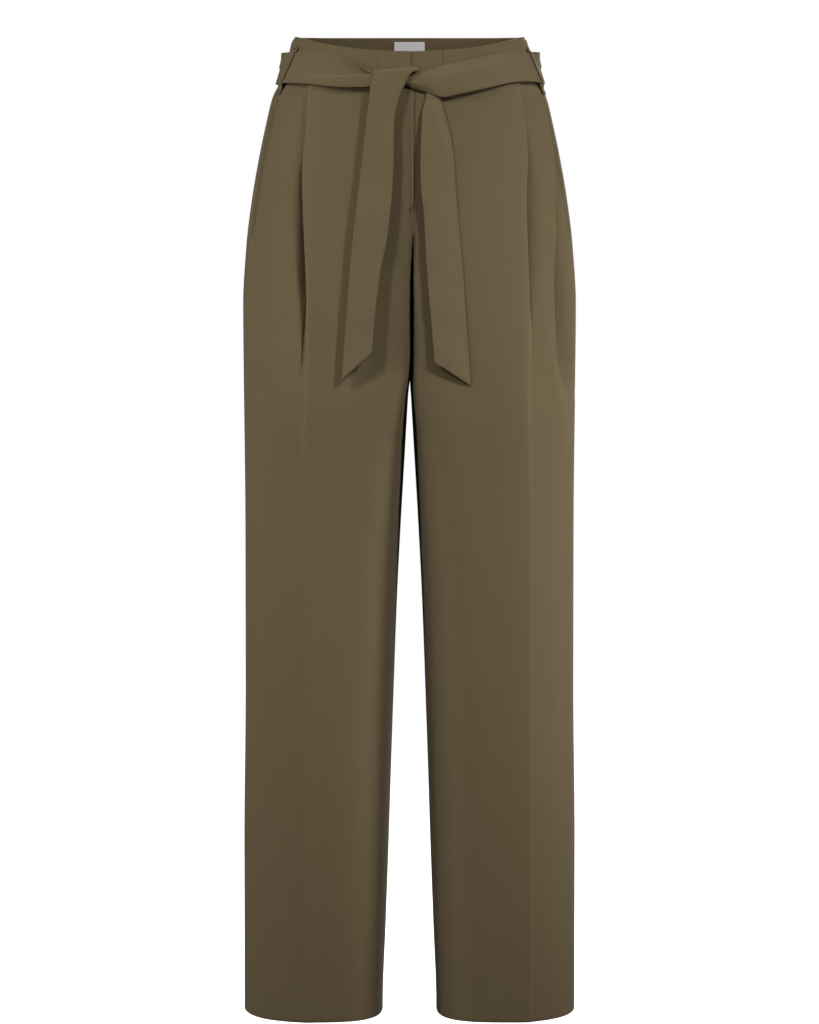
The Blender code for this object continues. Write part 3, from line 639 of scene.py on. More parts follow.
def front_grid(side):
    """A front from the centre to the side seam, with its pleat."""
    height = fan_height(side, 0.25, ROWS)
    crease = panel_point(side, 0.25, height)
    along, out = panel_frame(side, 0.25, height)
    steps, rises = fold_steps(height)
    shut = smooth((read(PLEAT, "closed", height) - SHUT_FROM) / SHUT_OVER)
    apex = mix(steps[:, 2:3], steps[:, 4:5], shut)
    steps = steps - apex
    along = along + edge_rise(side, 0.25, ROWS)

    def beside(share, step, rise, outside):
        share = share[None, :]
        level = fan_height(side, share, ROWS)
        point = panel_point(side, share, level)
        local_along, local_out = panel_frame(side, share, level)
        distance = np.linalg.norm(point - panel_point(side, 0.25, level), axis=-1)
        settle = 1.0 - smooth(distance / PLEAT_REACH)
        lift = rise * settle + ridge("front", level, distance + np.abs(step) * settle, outside)
        lift = lift - outside * trench(side, level, distance + step * settle)
        local_along = local_along + edge_rise(side, share, ROWS)
        return point + local_along * (step * settle)[..., None] + local_out * lift[..., None]

    inner = beside(0.25 * fine(44)[:-1], steps[:, :1], rises[:, :1], 0.0)
    lift = rises + ridge("front", height, steps, steps > 0.0)
    under = np.arange(steps.shape[1]) > FOLD_STEPS
    lift = lift - under * trench(side, height, 0.0)
    pleat = crease + along * steps[..., None] + out * lift[..., None]
    outer = beside(0.25 + 0.25 * fine(84, False, True)[1:], steps[:, -1:], rises[:, -1:], 1.0)
    return np.concatenate([inner, pleat, outer], axis=1), inner.shape[1] + 3


def back_grid(side):
    """A back from the side seam to the centre back and inseam."""
    outer = 0.5 + 0.25 * fine(40)
    shares = np.concatenate([outer, 1.0 - 0.25 * fine(50)[::-1][1:]])[None, :]
    height = fan_height(side, shares, ROWS)
    point = panel_point(side, shares, height)
    distance = np.linalg.norm(point - panel_point(side, 0.75, height), axis=-1)
    out = panel_frame(side, shares, height)[1]
    return point + out * ridge("back", height, distance)[..., None], len(outer) - 1


def run_length(grid, axis):
    """Length of cloth along a grid's rows or columns, from its first line."""
    steps = np.linalg.norm(np.diff(grid, axis=axis), axis=-1)
    pad = [(0, 0), (0, 0)]
    pad[axis] = (1, 0)
    return np.pad(np.cumsum(steps, axis=axis), pad)


def grid_normals(grid, side):
    down = np.gradient(grid, axis=0)
    along = np.gradient(grid, axis=1)
    return unit(np.cross(down, along) * side)


def pull_in(grid, amount):
    """Draws a grid's four edges in, so that a seam's two pieces stay apart."""
    grid = grid.copy()
    grid[:, 0] += unit(grid[:, 1] - grid[:, 0]) * amount
    grid[:, -1] += unit(grid[:, -2] - grid[:, -1]) * amount
    grid[0] += unit(grid[1] - grid[0]) * amount
    grid[-1] += unit(grid[-2] - grid[-1]) * amount
    return grid


def soft_folds(piece, grid):
    """Height of the soft folds over a piece's grid, with painted highlights on ridges and lips and
    painted shade in troughs and hollows.
    """
    rise = np.zeros(grid.shape[:2])
    tone = np.zeros(grid.shape[:2])
    for fold in FOLDS:
        if fold.piece != piece:
            continue
        path = np.array(fold.path, float)
        nearest = np.full(grid.shape[:2], 1e9)
        strength = np.zeros(grid.shape[:2])
        outward = np.zeros(grid.shape[:2])
        here = grid[..., [0, 2]]
        for first, last in zip(path[:-1], path[1:]):
            way = last[:2] - first[:2]
            part = np.clip(((here - first[:2]) @ way) / (way @ way), 0.0, 1.0)
            apart = here - first[:2] - part[..., None] * way
            gap = np.linalg.norm(apart, axis=-1)
            closer = gap < nearest
            nearest = np.where(closer, gap, nearest)
            strength = np.where(closer, mix(first[2], last[2], part), strength)
            outward = np.where(closer, apart[..., 0] * np.sign(here[..., 0]), outward)
        shape = fold.rise * bell(nearest, fold.width)
        if fold.drop:
            beyond, hollow = smooth(outward / FOLD_EDGE), bell(nearest, fold.reach)
            shape = mix(shape, -fold.drop * hollow, beyond)
            # Painted highlight on the lip, then painted shade in the hollow beyond the drop.
            lip = FOLD_LIP_PAINTED_HIGHLIGHT * bell(nearest, FOLD_LIP_HIGHLIGHT_WIDTH)
            tone += strength * mix(lip, HOLLOW_PAINTED_SHADE * hollow, beyond)
        else:
            # Painted highlight on a ridge, painted shade in a trough.
            tone += FOLD_PAINTED_LIGHT * strength * shape
        rise += strength * shape
    return rise, tone


def apply_modifiers(piece):
    bpy.ops.object.select_all(action="DESELECT")
    bpy.context.view_layer.objects.active = piece
    piece.select_set(True)
    for modifier in list(piece.modifiers):
        bpy.ops.object.modifier_apply(modifier=modifier.name)


def cloth_piece(name, grid, wall, material, round_edge=0.0, wear_and_painted_light=None):
    """A closed wall of cloth on a grid of points, with its length and width as its map."""
    rows, columns = grid.shape[:2]
    number = np.arange(rows * columns).reshape(rows, columns)
    faces = np.stack([number[:-1, :-1], number[1:, :-1], number[1:, 1:], number[:-1, 1:]], axis=-1)
    faces = faces.reshape(-1, 4)
    mesh = bpy.data.meshes.new(name)
    mesh.from_pydata((grid.reshape(-1, 3) * MM).tolist(), [], faces.tolist())
    layout = mesh.uv_layers.new(name="cloth")
    flat = np.stack([run_length(grid, 1), -run_length(grid, 0)], axis=-1).reshape(-1, 2) * MM
    layout.data.foreach_set("uv", flat[faces.reshape(-1)].astype(np.float32).reshape(-1))
    # Each point's mark for the cloth's tone: wear at seams and creases, painted highlights and
    # painted shade.
    mark = mesh.attributes.new("wear_and_painted_light", "FLOAT", "POINT")
    value = np.zeros(rows * columns) if wear_and_painted_light is None else wear_and_painted_light.reshape(-1)
    mark.data.foreach_set("value", value.astype(np.float32))
    piece = bpy.data.objects.new(name, mesh)
    bpy.context.scene.collection.objects.link(piece)
    solidify = piece.modifiers.new("wall", "SOLIDIFY")
    solidify.thickness = wall * MM
    solidify.offset = 0.0
    solidify.use_even_offset = True
    if round_edge:
        bevel = piece.modifiers.new("rounded edges", "BEVEL")
        bevel.width = round_edge * MM
        bevel.segments = 3
        bevel.limit_method = "ANGLE"
        bevel.angle_limit = math.radians(50)
    apply_modifiers(piece)
    piece.data.polygons.foreach_set("use_smooth", [True] * len(piece.data.polygons))
    if not round_edge:
        bpy.ops.object.shade_smooth_by_angle(angle=math.radians(55))
    piece.data.materials.append(material)
    return piece


# Materials --------------------------------------------------------------------------------


def new_group(name, inputs, outputs):
    group = bpy.data.node_groups.new(name, "ShaderNodeTree")
    for label, kind, value in inputs:
        socket = group.interface.new_socket(name=label, in_out="INPUT", socket_type=kind)
        if value is not None:
            socket.default_value = value
    for label, kind in outputs:
        group.interface.new_socket(name=label, in_out="OUTPUT", socket_type=kind)
    enter = group.nodes.new("NodeGroupInput")
    leave = group.nodes.new("NodeGroupOutput")
    return group, enter, leave


def calculate(tree, operation, *values):
    node = tree.nodes.new("ShaderNodeMath")
    node.operation = operation
    for socket, value in zip(node.inputs, values):
        if isinstance(value, (int, float)):
            socket.default_value = value
        else:
            tree.links.new(value, socket)
    return node.outputs[0]


TWILL_SLANT = 0.62          # steps across for one down, along a twill line
RIPPLE_TURNS = 2.9          # half turns of the weft's ripple in one pitch
RIPPLE_HEIGHT = 0.35
WARP_YARN = (1500.0, 90.0, 1.0)
WEFT_YARN = (70.0, 1300.0, 1.0)
YARN_HEIGHT = 2.0
LINE_TONE = 0.12
SLOW_TONE = (0.10, 0.95)    # spread and lowest value of the slow change of tone
YARN_TONE = (0.30, -0.15)
WEAR_AND_PAINTED_LIGHT_TONE = 0.18
WEAVE_DEPTH = 0.00008       # in metres


def yarn_noise(group, place, stretch):
    """Uneven yarn: noise stretched along the warp or the weft."""
    stretched = group.nodes.new("ShaderNodeMapping")
    stretched.inputs["Scale"].default_value = stretch
    group.links.new(place, stretched.inputs[0])
    noise = group.nodes.new("ShaderNodeTexNoise")
    noise.inputs["Scale"].default_value = 1.0
    noise.inputs["Detail"].default_value = 2.0
    group.links.new(stretched.outputs[0], noise.inputs["Vector"])
    return noise.outputs["Fac"]


def twill_group():
    """Twill lines and uneven yarn from a map in metres."""
    group, enter, leave = new_group(
        "twill weave",
        [("Map", "NodeSocketVector", None), ("Pitch", "NodeSocketFloat", 0.0009),
         ("Unevenness", "NodeSocketFloat", 0.5)],
        [("Height", "NodeSocketFloat"), ("Yarn", "NodeSocketFloat")],
    )
    split = group.nodes.new("ShaderNodeSeparateXYZ")
    group.links.new(enter.outputs["Map"], split.inputs[0])
    across, down = split.outputs[0], split.outputs[1]
    slant = calculate(group, "ADD", across, calculate(group, "MULTIPLY", down, TWILL_SLANT))
    turn = calculate(group, "DIVIDE", slant, enter.outputs["Pitch"])
    lines = calculate(group, "SINE", calculate(group, "MULTIPLY", turn, 2 * math.pi))
    ripple = calculate(group, "DIVIDE", down, enter.outputs["Pitch"])
    ripple = calculate(group, "MULTIPLY", ripple, RIPPLE_TURNS * math.pi)
    ripple = calculate(group, "SINE", ripple)
    yarns = [yarn_noise(group, enter.outputs["Map"], size) for size in (WARP_YARN, WEFT_YARN)]
    yarn = calculate(group, "SUBTRACT", calculate(group, "ADD", *yarns), 1.0)
    yarn = calculate(group, "MULTIPLY", yarn, enter.outputs["Unevenness"])
    height = calculate(group, "ADD", lines, calculate(group, "MULTIPLY", ripple, RIPPLE_HEIGHT))
    height = calculate(group, "ADD", height, calculate(group, "MULTIPLY", yarn, YARN_HEIGHT))
    group.links.new(height, leave.inputs["Height"])
    tone = calculate(group, "ADD", calculate(group, "MULTIPLY", lines, LINE_TONE), yarn)
    group.links.new(calculate(group, "ADD", tone, 0.5), leave.inputs["Yarn"])
    return group


def wear_and_light_group():
    """Lighter pressed edges, painted highlights and painted shade from the points' marks, and a
    slow change of tone over the cloth.
    """
    group, enter, leave = new_group(
        "cloth wear and painted light",
        [("Color", "NodeSocketColor", (0.1, 0.1, 0.1, 1.0)), ("Yarn", "NodeSocketFloat", 0.5),
         ("Wear and painted light", "NodeSocketFloat", 0.0), ("Place", "NodeSocketVector", None)],
        [("Color", "NodeSocketColor")],
    )
    slow = group.nodes.new("ShaderNodeTexNoise")
    slow.inputs["Scale"].default_value = 9.0
    slow.inputs["Detail"].default_value = 3.0
    group.links.new(enter.outputs["Place"], slow.inputs["Vector"])
    tone = calculate(group, "MULTIPLY_ADD", slow.outputs["Fac"], *SLOW_TONE)
    yarn = calculate(group, "MULTIPLY_ADD", enter.outputs["Yarn"], *YARN_TONE)
    wear_and_painted_light = calculate(group, "MULTIPLY", enter.outputs["Wear and painted light"], WEAR_AND_PAINTED_LIGHT_TONE)
    tone = calculate(group, "ADD", calculate(group, "ADD", tone, yarn), wear_and_painted_light)
    scale = group.nodes.new("ShaderNodeVectorMath")
    scale.operation = "SCALE"
    group.links.new(enter.outputs["Color"], scale.inputs[0])
    group.links.new(tone, scale.inputs["Scale"])
    group.links.new(scale.outputs[0], leave.inputs["Color"])
    return group


WEAVE = twill_group()
WEAR_AND_LIGHT_GROUP = wear_and_light_group()


def cloth_finish(name, colour, roughness, pitch, bump, sheen, unevenness=0.5):
    material = bpy.data.materials.new(name)
    material.use_nodes = True
    tree = material.node_tree
    shader = tree.nodes["Principled BSDF"]
    shader.inputs["Roughness"].default_value = roughness
    shader.inputs["Sheen Weight"].default_value = sheen
    shader.inputs["Sheen Roughness"].default_value = 0.4
    shader.inputs["Specular IOR Level"].default_value = 0.25
    layout = tree.nodes.new("ShaderNodeUVMap")
    layout.uv_map = "cloth"
    place_of = tree.nodes.new("ShaderNodeTexCoord")
    weave = tree.nodes.new("ShaderNodeGroup")
    weave.node_tree = WEAVE
    weave.inputs["Pitch"].default_value = pitch
    weave.inputs["Unevenness"].default_value = unevenness
    tree.links.new(layout.outputs["UV"], weave.inputs["Map"])
    # The points' marks: wear at seams and creases, painted highlights and painted shade.
    wear_and_painted_light = tree.nodes.new("ShaderNodeAttribute")
    wear_and_painted_light.attribute_name = "wear_and_painted_light"
    wear_and_light = tree.nodes.new("ShaderNodeGroup")
    wear_and_light.node_tree = WEAR_AND_LIGHT_GROUP
    wear_and_light.inputs["Color"].default_value = (*colour, 1.0)
    tree.links.new(weave.outputs["Yarn"], wear_and_light.inputs["Yarn"])
    tree.links.new(wear_and_painted_light.outputs["Fac"], wear_and_light.inputs["Wear and painted light"])
    tree.links.new(place_of.outputs["Object"], wear_and_light.inputs["Place"])
    tree.links.new(wear_and_light.outputs["Color"], shader.inputs["Base Color"])
    relief = tree.nodes.new("ShaderNodeBump")
    relief.inputs["Strength"].default_value = bump
    relief.inputs["Distance"].default_value = WEAVE_DEPTH
    tree.links.new(weave.outputs["Height"], relief.inputs["Height"])
    tree.links.new(relief.outputs["Normal"], shader.inputs["Normal"])
    return material


twill = cloth_finish("olive twill", (0.130, 0.096, 0.047), 0.85, 0.0009, 0.5, 0.1)
belt_twill = cloth_finish("belt twill", (0.136, 0.100, 0.050), 0.85, 0.0009, 0.5, 0.1)
satin = cloth_finish("label satin", (0.73, 0.71, 0.73), 0.5, 0.0005, 0.3, 0.0, 0.2)
thread = cloth_finish("sewing thread", (0.135, 0.10, 0.054), 0.7, 0.0004, 0.6, 0.0)
bar_thread = cloth_finish("bartack thread", (0.06, 0.04, 0.022), 0.7, 0.0004, 0.6, 0.0)


def declare(piece):
    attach(piece, "root")


# Panels -----------------------------------------------------------------------------------


def seam_sink(distance, depth=SEAM_SINK):
    return -depth * bell(distance, SEAM_WIDTH)


def hem_turned(grid, side):
    """The grid with its lower edge folded in and up."""
    normal = grid_normals(grid, side)[-2]
    bottom = grid[-1] + np.array([0.0, 0.0, HEM_FOLD])
    turned = []
    for turn in np.radians(HEM_TURNS):
        inward = HEM_FOLD * (1.0 - math.cos(turn))
        turned.append(bottom - normal * inward - [0, 0, HEM_FOLD * math.sin(turn)])
    for lift in HEM_LIFTS:
        turned.append(bottom - normal * 2 * HEM_FOLD + [0, 0, lift])
    return np.concatenate([grid[:-1], bottom[None], np.array(turned)], axis=0)


def pocket_share(level):
    """1 at the heights of the pocket's opening, 0 above and below it."""
    return smooth((POCKET_TOP - level) / POCKET_FADE) * smooth((level - POCKET_END) / POCKET_FADE)


def panel_relief(is_front, side, level, outer, centre, down):
    """How far a panel sinks or stands out at its seams, its pocket's opening and the fly."""
    rise = seam_sink(outer) + seam_sink(down, END_SINK)
    if is_front:
        lip = (SEAM_SINK + POCKET_LIP) * bell(outer, POCKET_LIP_WIDTH)
        rise = rise + pocket_share(level) * lip
    else:
        rise = rise - pocket_share(level) * POCKET_SINK * bell(outer, POCKET_SINK_WIDTH)
    at_fly = smooth((level - FLY_END) / FLY_FADE) if is_front else 0.0
    wall = (FRONT_RISE_TOP if is_front else BACK_RISE_TOP) + WALL_LEAD
    at_crotch = smooth((level - CROTCH + CROTCH_EASE_BELOW) / CROTCH_EASE_FADE)
    at_crotch = at_crotch * smooth((wall - level) / WALL_RISE)
    rise = rise + seam_sink(centre) * (1.0 - at_fly) * (1.0 - CROTCH_EASE * at_crotch)
    if is_front:
        lap, width = FLY_LAP[side]
        rise = rise + at_fly * lap * (1.0 - smooth((centre - 1.0) / width))
    return rise


def panel_wear_and_painted_light(is_front, level, outer, centre, from_crease):
    """How much lighter a panel is at its seams and pressed edge, with painted shade at the
    pocket's opening and a painted highlight on the back's rim beside it.
    """
    low = smooth((CREASE_TINT_TOP - level) / CREASE_TINT_FADE)
    pressed = mix(PLEAT_TINT, CREASE_TINT, low) * smooth((level - PRESS_END) / PRESS_FADE)
    tint = SIDE_TINT * bell(outer, SEAM_TINT_WIDTH) + CENTRE_TINT * bell(centre, SEAM_TINT_WIDTH)
    tint = tint + pressed * bell(from_crease, PRESS_WIDTH)
    if is_front:
        # Painted shade along the front's edge in the pocket's opening.
        return tint + POCKET_LIP_PAINTED_SHADE * pocket_share(level) * bell(outer, POCKET_LIP_SHADE_WIDTH)
    # Painted shade in the back's band inside the opening, and a painted highlight on its rim.
    inside = POCKET_INSIDE_PAINTED_SHADE * np.exp(-((outer / POCKET_INSIDE_SHADE_WIDTH) ** 4))
    return tint + pocket_share(level) * (inside + POCKET_RIM_PAINTED_HIGHLIGHT * bell(outer - POCKET_RIM_HIGHLIGHT_AWAY, POCKET_RIM_HIGHLIGHT_WIDTH))


def panel(name, side, grid, crease, centre_first, material):
    grid = pull_in(grid, HALF_SEAM)
    out = grid_normals(grid, side)
    along, down, level = run_length(grid, 1), run_length(grid, 0), grid[..., 2]
    edges = (along, along[:, -1:] - along)
    centre, outer = edges if centre_first else edges[::-1]
    is_front = name.startswith("front")
    # The soft folds' painted highlights and shade, to which the seams' wear and the pocket's
    # painted shade and highlight are added.
    folds, wear_and_painted_light = soft_folds(name, grid)
    rise = panel_relief(is_front, side, level, outer, centre, down)
    grid = grid + out * (rise + folds)[..., None]
    from_crease = along - along[:, crease:crease + 1]
    wear_and_painted_light = wear_and_painted_light + panel_wear_and_painted_light(is_front, level, outer, centre, from_crease)
    if is_front:
        for height in (POCKET_TOP, POCKET_END):
            bar_stitches(f"{name}_bar_{-height:.0f}", grid, out, outer, height, POCKET_BAR)
        if side < 0:
            bar_stitches(f"{name}_bar_fly", grid, out, centre, FLY_BAR_HEIGHT, FLY_BAR)
    grid = hem_turned(grid, side)
    wear_and_painted_light = np.concatenate([wear_and_painted_light, np.repeat(wear_and_painted_light[-1:], len(grid) - len(wear_and_painted_light), axis=0)])
    piece = cloth_piece(name + "_cloth", grid, CLOTH, material, wear_and_painted_light=wear_and_painted_light)
    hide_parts(name)
    return piece


STITCH = 2.2                # length of a stitch, and from one to the next
STITCH_STEP = 3.0
THREAD = 0.34
EDGE_STITCH = 2.4           # from the belt's edge to its row of stitches
BAR = 1.5                   # width of a bartack
BAR_STEP = 0.36
POCKET_BAR = (0.8, 6.5)     # a bartack's two ends, from the seam
FLY_BAR = (7.5, 13.0)
FLY_BAR_HEIGHT = FLY_END + 2.0
# A stitch's six rings: place along it in lengths, girth and height in thicknesses.
STITCH_PLACES = np.array([-0.5, -0.42, -0.2, 0.2, 0.42, 0.5])
STITCH_GIRTHS = np.array([0.25, 0.75, 1.0, 1.0, 0.75, 0.25])
STITCH_HEIGHTS = np.array([-0.5, -0.2, 0.1, 0.1, -0.2, -0.5])


def stitch_run(
    name, path, out, length=STITCH, spacing=STITCH_STEP, thick=THREAD, across=False
):
    """A row of stitches that lie on the cloth, along a path or across it."""
    run = run_along(path)
    count = max(1, round(run[-1] / spacing))
    middles = (np.arange(count) + 0.5) * run[-1] / count
    at = between(path, run, middles)
    up = unit(between(out, run, middles))
    way = unit(between(path, run, middles + 0.4) - between(path, run, middles - 0.4))
    side = unit(np.cross(up, way))
    if across:
        way, side = side, -way
    ends, girth, sink = STITCH_PLACES, STITCH_GIRTHS * thick / 2, STITCH_HEIGHTS * thick
    around = np.radians(np.arange(6) * 60.0)
    rings = (
        at[:, None, None, :]
        + way[:, None, None, :] * (ends * length)[None, :, None, None]
        + up[:, None, None, :] * sink[None, :, None, None]
        + side[:, None, None, :] * (girth[:, None] * np.cos(around))[None, :, :, None]
        + up[:, None, None, :] * (girth[:, None] * np.sin(around))[None, :, :, None]
    )
    number = np.arange(rings.shape[0] * 36).reshape(-1, 6, 6)
    low, high = number[:, :-1], number[:, 1:]
    sides = np.stack([low, np.roll(low, -1, 2), np.roll(high, -1, 2), high], axis=-1)
    caps = np.concatenate([number[:, 0, ::-1], number[:, -1]]).tolist()
    mesh = bpy.data.meshes.new(name)
    faces = sides.reshape(-1, 4).tolist() + caps
    mesh.from_pydata((rings.reshape(-1, 3) * MM).tolist(), [], faces)
    mesh.polygons.foreach_set("use_smooth", [True] * len(mesh.polygons))
    piece = bpy.data.objects.new(name, mesh)
    bpy.context.scene.collection.objects.link(piece)
    piece.data.materials.append(bar_thread if across else thread)
    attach(piece, "root")


def bar_stitches(name, grid, out, away, height, reach):
    """A bartack on a panel at a height, between two distances from one of its edges."""
    column = np.argmin(np.abs(away[0] - reach[0]))
    row = np.argmin(np.abs(grid[:, column, 2] - height))
    order = np.argsort(away[row])
    spots = np.linspace(*reach, 12)
    path, up = (between(rows[row][order], away[row][order], spots) for rows in (grid, out))
    path = path + up * (CLOTH / 2 + 0.1)
    stitch_run(name, path, up, BAR, BAR_STEP, BAR_STEP, True)


fronts = {}
backs = {}
for side, label in ((1, "left"), (-1, "right")):
    fronts[side] = panel(f"front_{label}", side, *front_grid(side), True, twill)
    backs[side] = panel(f"back_{label}", side, *back_grid(side), False, twill)
    declare(fronts[side])
    declare(backs[side])


ALLOWANCE_WALL = 1.15       # the two allowances, pressed together
ALLOWANCE_REACH = (-0.4, 9.6)


def crotch_allowance():
    """The crotch seam's two allowances, which stand up together inside, between the legs."""
    deep = (ROWS[:, 0] >= RISE_STEPS) & (ROWS[:, 0] <= RISE_STEPS + CROTCH_STEPS)
    front = (front_grid(-1)[0][deep, 0] + front_grid(1)[0][deep, 0]) / 2
    back = (back_grid(-1)[0][deep, -1] + back_grid(1)[0][deep, -1]) / 2
    path = np.concatenate([front, back[-2::-1]])
    way = unit(np.gradient(path, axis=0))
    inward = unit(points(0.0, -way[:, 2], way[:, 1]))
    return path[:, None] + inward[:, None] * np.linspace(*ALLOWANCE_REACH, 6)[None, :, None]


piece = cloth_piece("crotch_allowance_cloth", crotch_allowance(), ALLOWANCE_WALL, twill)
declare(piece)


# Waistband --------------------------------------------------------------------------------


def course_point(turn, height, lift):
    """A point over the waistband, by the angle round the wearer's right side."""
    turn, height = np.broadcast_arrays(np.asarray(turn, float), np.asarray(height, float))
    on_right = (turn <= 180.0) | (turn > 360.0)
    side = np.where(on_right, -1.0, 1.0)
    from_front = np.where(on_right, turn % 360.0, 360.0 - turn)

    def at(offset, drop):
        across, depth = hip_ring(from_front + offset, height + drop)
        return place(side, across, depth, height + drop)

    along = at(0.5, 0.0) - at(-0.5, 0.0)
    down = at(0.0, -2.0) - at(0.0, 2.0)
    out = unit(np.cross(down, along) * side[..., None])
    return at(0.0, 0.0) + out * np.asarray(lift, float)[..., None]


def spaced(start, end, step):
    return np.linspace(start, end, max(2, round(abs(end - start) / step) + 1))


right_seam, left_seam = SIDE_SEAM_TURN[-1], 360.0 - SIDE_SEAM_TURN[1]
TAB_OVER = 0.62             # the upper tab ends here, and the lower one runs on under it
TAB_UNDER = 362.2
TAB_LIFT = 1.1
TAB_LAP_START = 7.0         # the tabs' lap fades from this far in, over this width
TAB_LAP_FADE = 9.0
DART_TURN = 50.3            # a short seam in the waistband's right front
DART_WIDTH = 0.25
DART_SINK = 0.5
DART_LINES = np.array([-0.8, -0.4, -0.2, 0, 0.2, 0.4, 0.8])
RIM_LEAN = 3.2              # the upper edge rolls in at the sides
RIM_FALL = 7.0
RIM_DIP = 1.5
RIM_SPREAD = 16.0
BAND_ROWS = np.array(
    [0, 0.025, 0.05, 0.1, 0.2, 0.3, 0.4, 0.5, 0.6, 0.7, 0.8, 0.9, 0.95, 0.975, 1]
)[:, None]
BAND_SPANS = (
    ("waistband_tab_right", TAB_OVER, TAB_TURN, (0.029, 0.05)),
    ("waistband_front_right", TAB_TURN, right_seam, (0.11, 0.05)),
    ("waistband_back", right_seam, left_seam, (0.45, 0.05)),
    ("waistband_front_left", left_seam, 360.0 - TAB_TURN, (0.115, 0.05)),
    ("waistband_tab_left", 360.0 - TAB_TURN, TAB_UNDER, (0.034, 0.05)),
)
for name, start, end, flat in BAND_SPANS:
    turns = spaced(start, end, 1.2)
    if start < DART_TURN < end:
        turns = np.sort(np.append(turns, DART_TURN + DART_LINES))
    turns = turns[::-1][None, :]
    at_side = bell(turns - 90.0, RIM_SPREAD) + bell(turns - 270.0, RIM_SPREAD)
    rim = edge_height(BAND_TOP, turns) - RIM_DIP * at_side
    height = mix(rim, edge_height(BAND_FOOT, turns), BAND_ROWS)
    lift = -RIM_LEAN * at_side * smooth((height - rim + RIM_FALL) / RIM_FALL)
    lift = lift - DART_SINK * bell(turns - DART_TURN, DART_WIDTH)
    grid = course_point(turns, height, lift)
    if "tab" in name:
        from_last = run_length(grid, 1)
        upper = "right" in name
        from_edge = from_last[:, -1:] - from_last if upper else from_last
        lap = 1.0 - smooth((from_edge - TAB_LAP_START) / TAB_LAP_FADE)
        grid = course_point(turns, height, lift + (TAB_LIFT if upper else -TAB_LIFT) * lap)
    grid = pull_in(grid, HALF_SEAM)
    piece = cloth_piece(name + "_cloth", grid, BAND_WALL, twill, round_edge=0.7)
    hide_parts(name)
    declare(piece)


# Belt loops -------------------------------------------------------------------------------


def smooth_strip(strip, count):
    """Even points on a soft curve through a loop's table."""
    path = np.array(strip, float)
    for _ in range(3):
        corners = np.stack([mix(path[:-1], path[1:], share) for share in (0.25, 0.75)], axis=1)
        path = np.concatenate([path[:1], corners.reshape(-1, 2), path[-1:]])
    run = run_along(path)
    return between(path, run, np.linspace(0.0, run[-1], count))


def belt_loop(name, turn, strip, slant=0.0):
    """A loop over the belt, its upper end turned to the front by the slant."""
    middle = course_point(turn, strip[4].height, 0.0)
    beside = course_point(turn + 1.0, strip[4].height, 0.0)
    half = LOOP_WIDTH / 2 / np.linalg.norm(beside - middle)
    path = smooth_strip(strip, 48)
    offsets = np.linspace(half, -half, 9)[None, :]
    lift = path[:, :1] + 0.0 * offsets
    lean = slant * (path[:, 1:] - path[-1, 1]) / (path[0, 1] - path[-1, 1])
    grid = course_point(turn + lean + offsets, path[:, 1:] + 0.0 * offsets, lift)
    out = grid_normals(grid, 1.0)
    for end, row in (("top", 2), ("foot", -3)):
        up = out[row, 1:-1]
        line = grid[row, 1:-1] + up * (LOOP_WALL / 2 + 0.1)
        stitch_run(f"{name}_bar_{end}", line, up, BAR, BAR_STEP, BAR_STEP, True)
    piece = cloth_piece(name + "_cloth", grid, LOOP_WALL, twill, round_edge=0.5)
    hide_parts(name)
    declare(piece)


belt_loop("belt_loop_side_right", SIDE_LOOP_TURN[-1], SIDE_LOOP, SIDE_LOOP_SLANT[-1])
belt_loop("belt_loop_side_left", 360.0 - SIDE_LOOP_TURN[1], SIDE_LOOP, SIDE_LOOP_SLANT[1])
belt_loop("belt_loop_back_right", BACK_LOOP_TURN, BACK_LOOP)
belt_loop("belt_loop_back_left", 360.0 - BACK_LOOP_TURN, BACK_LOOP)


# Belt -------------------------------------------------------------------------------------

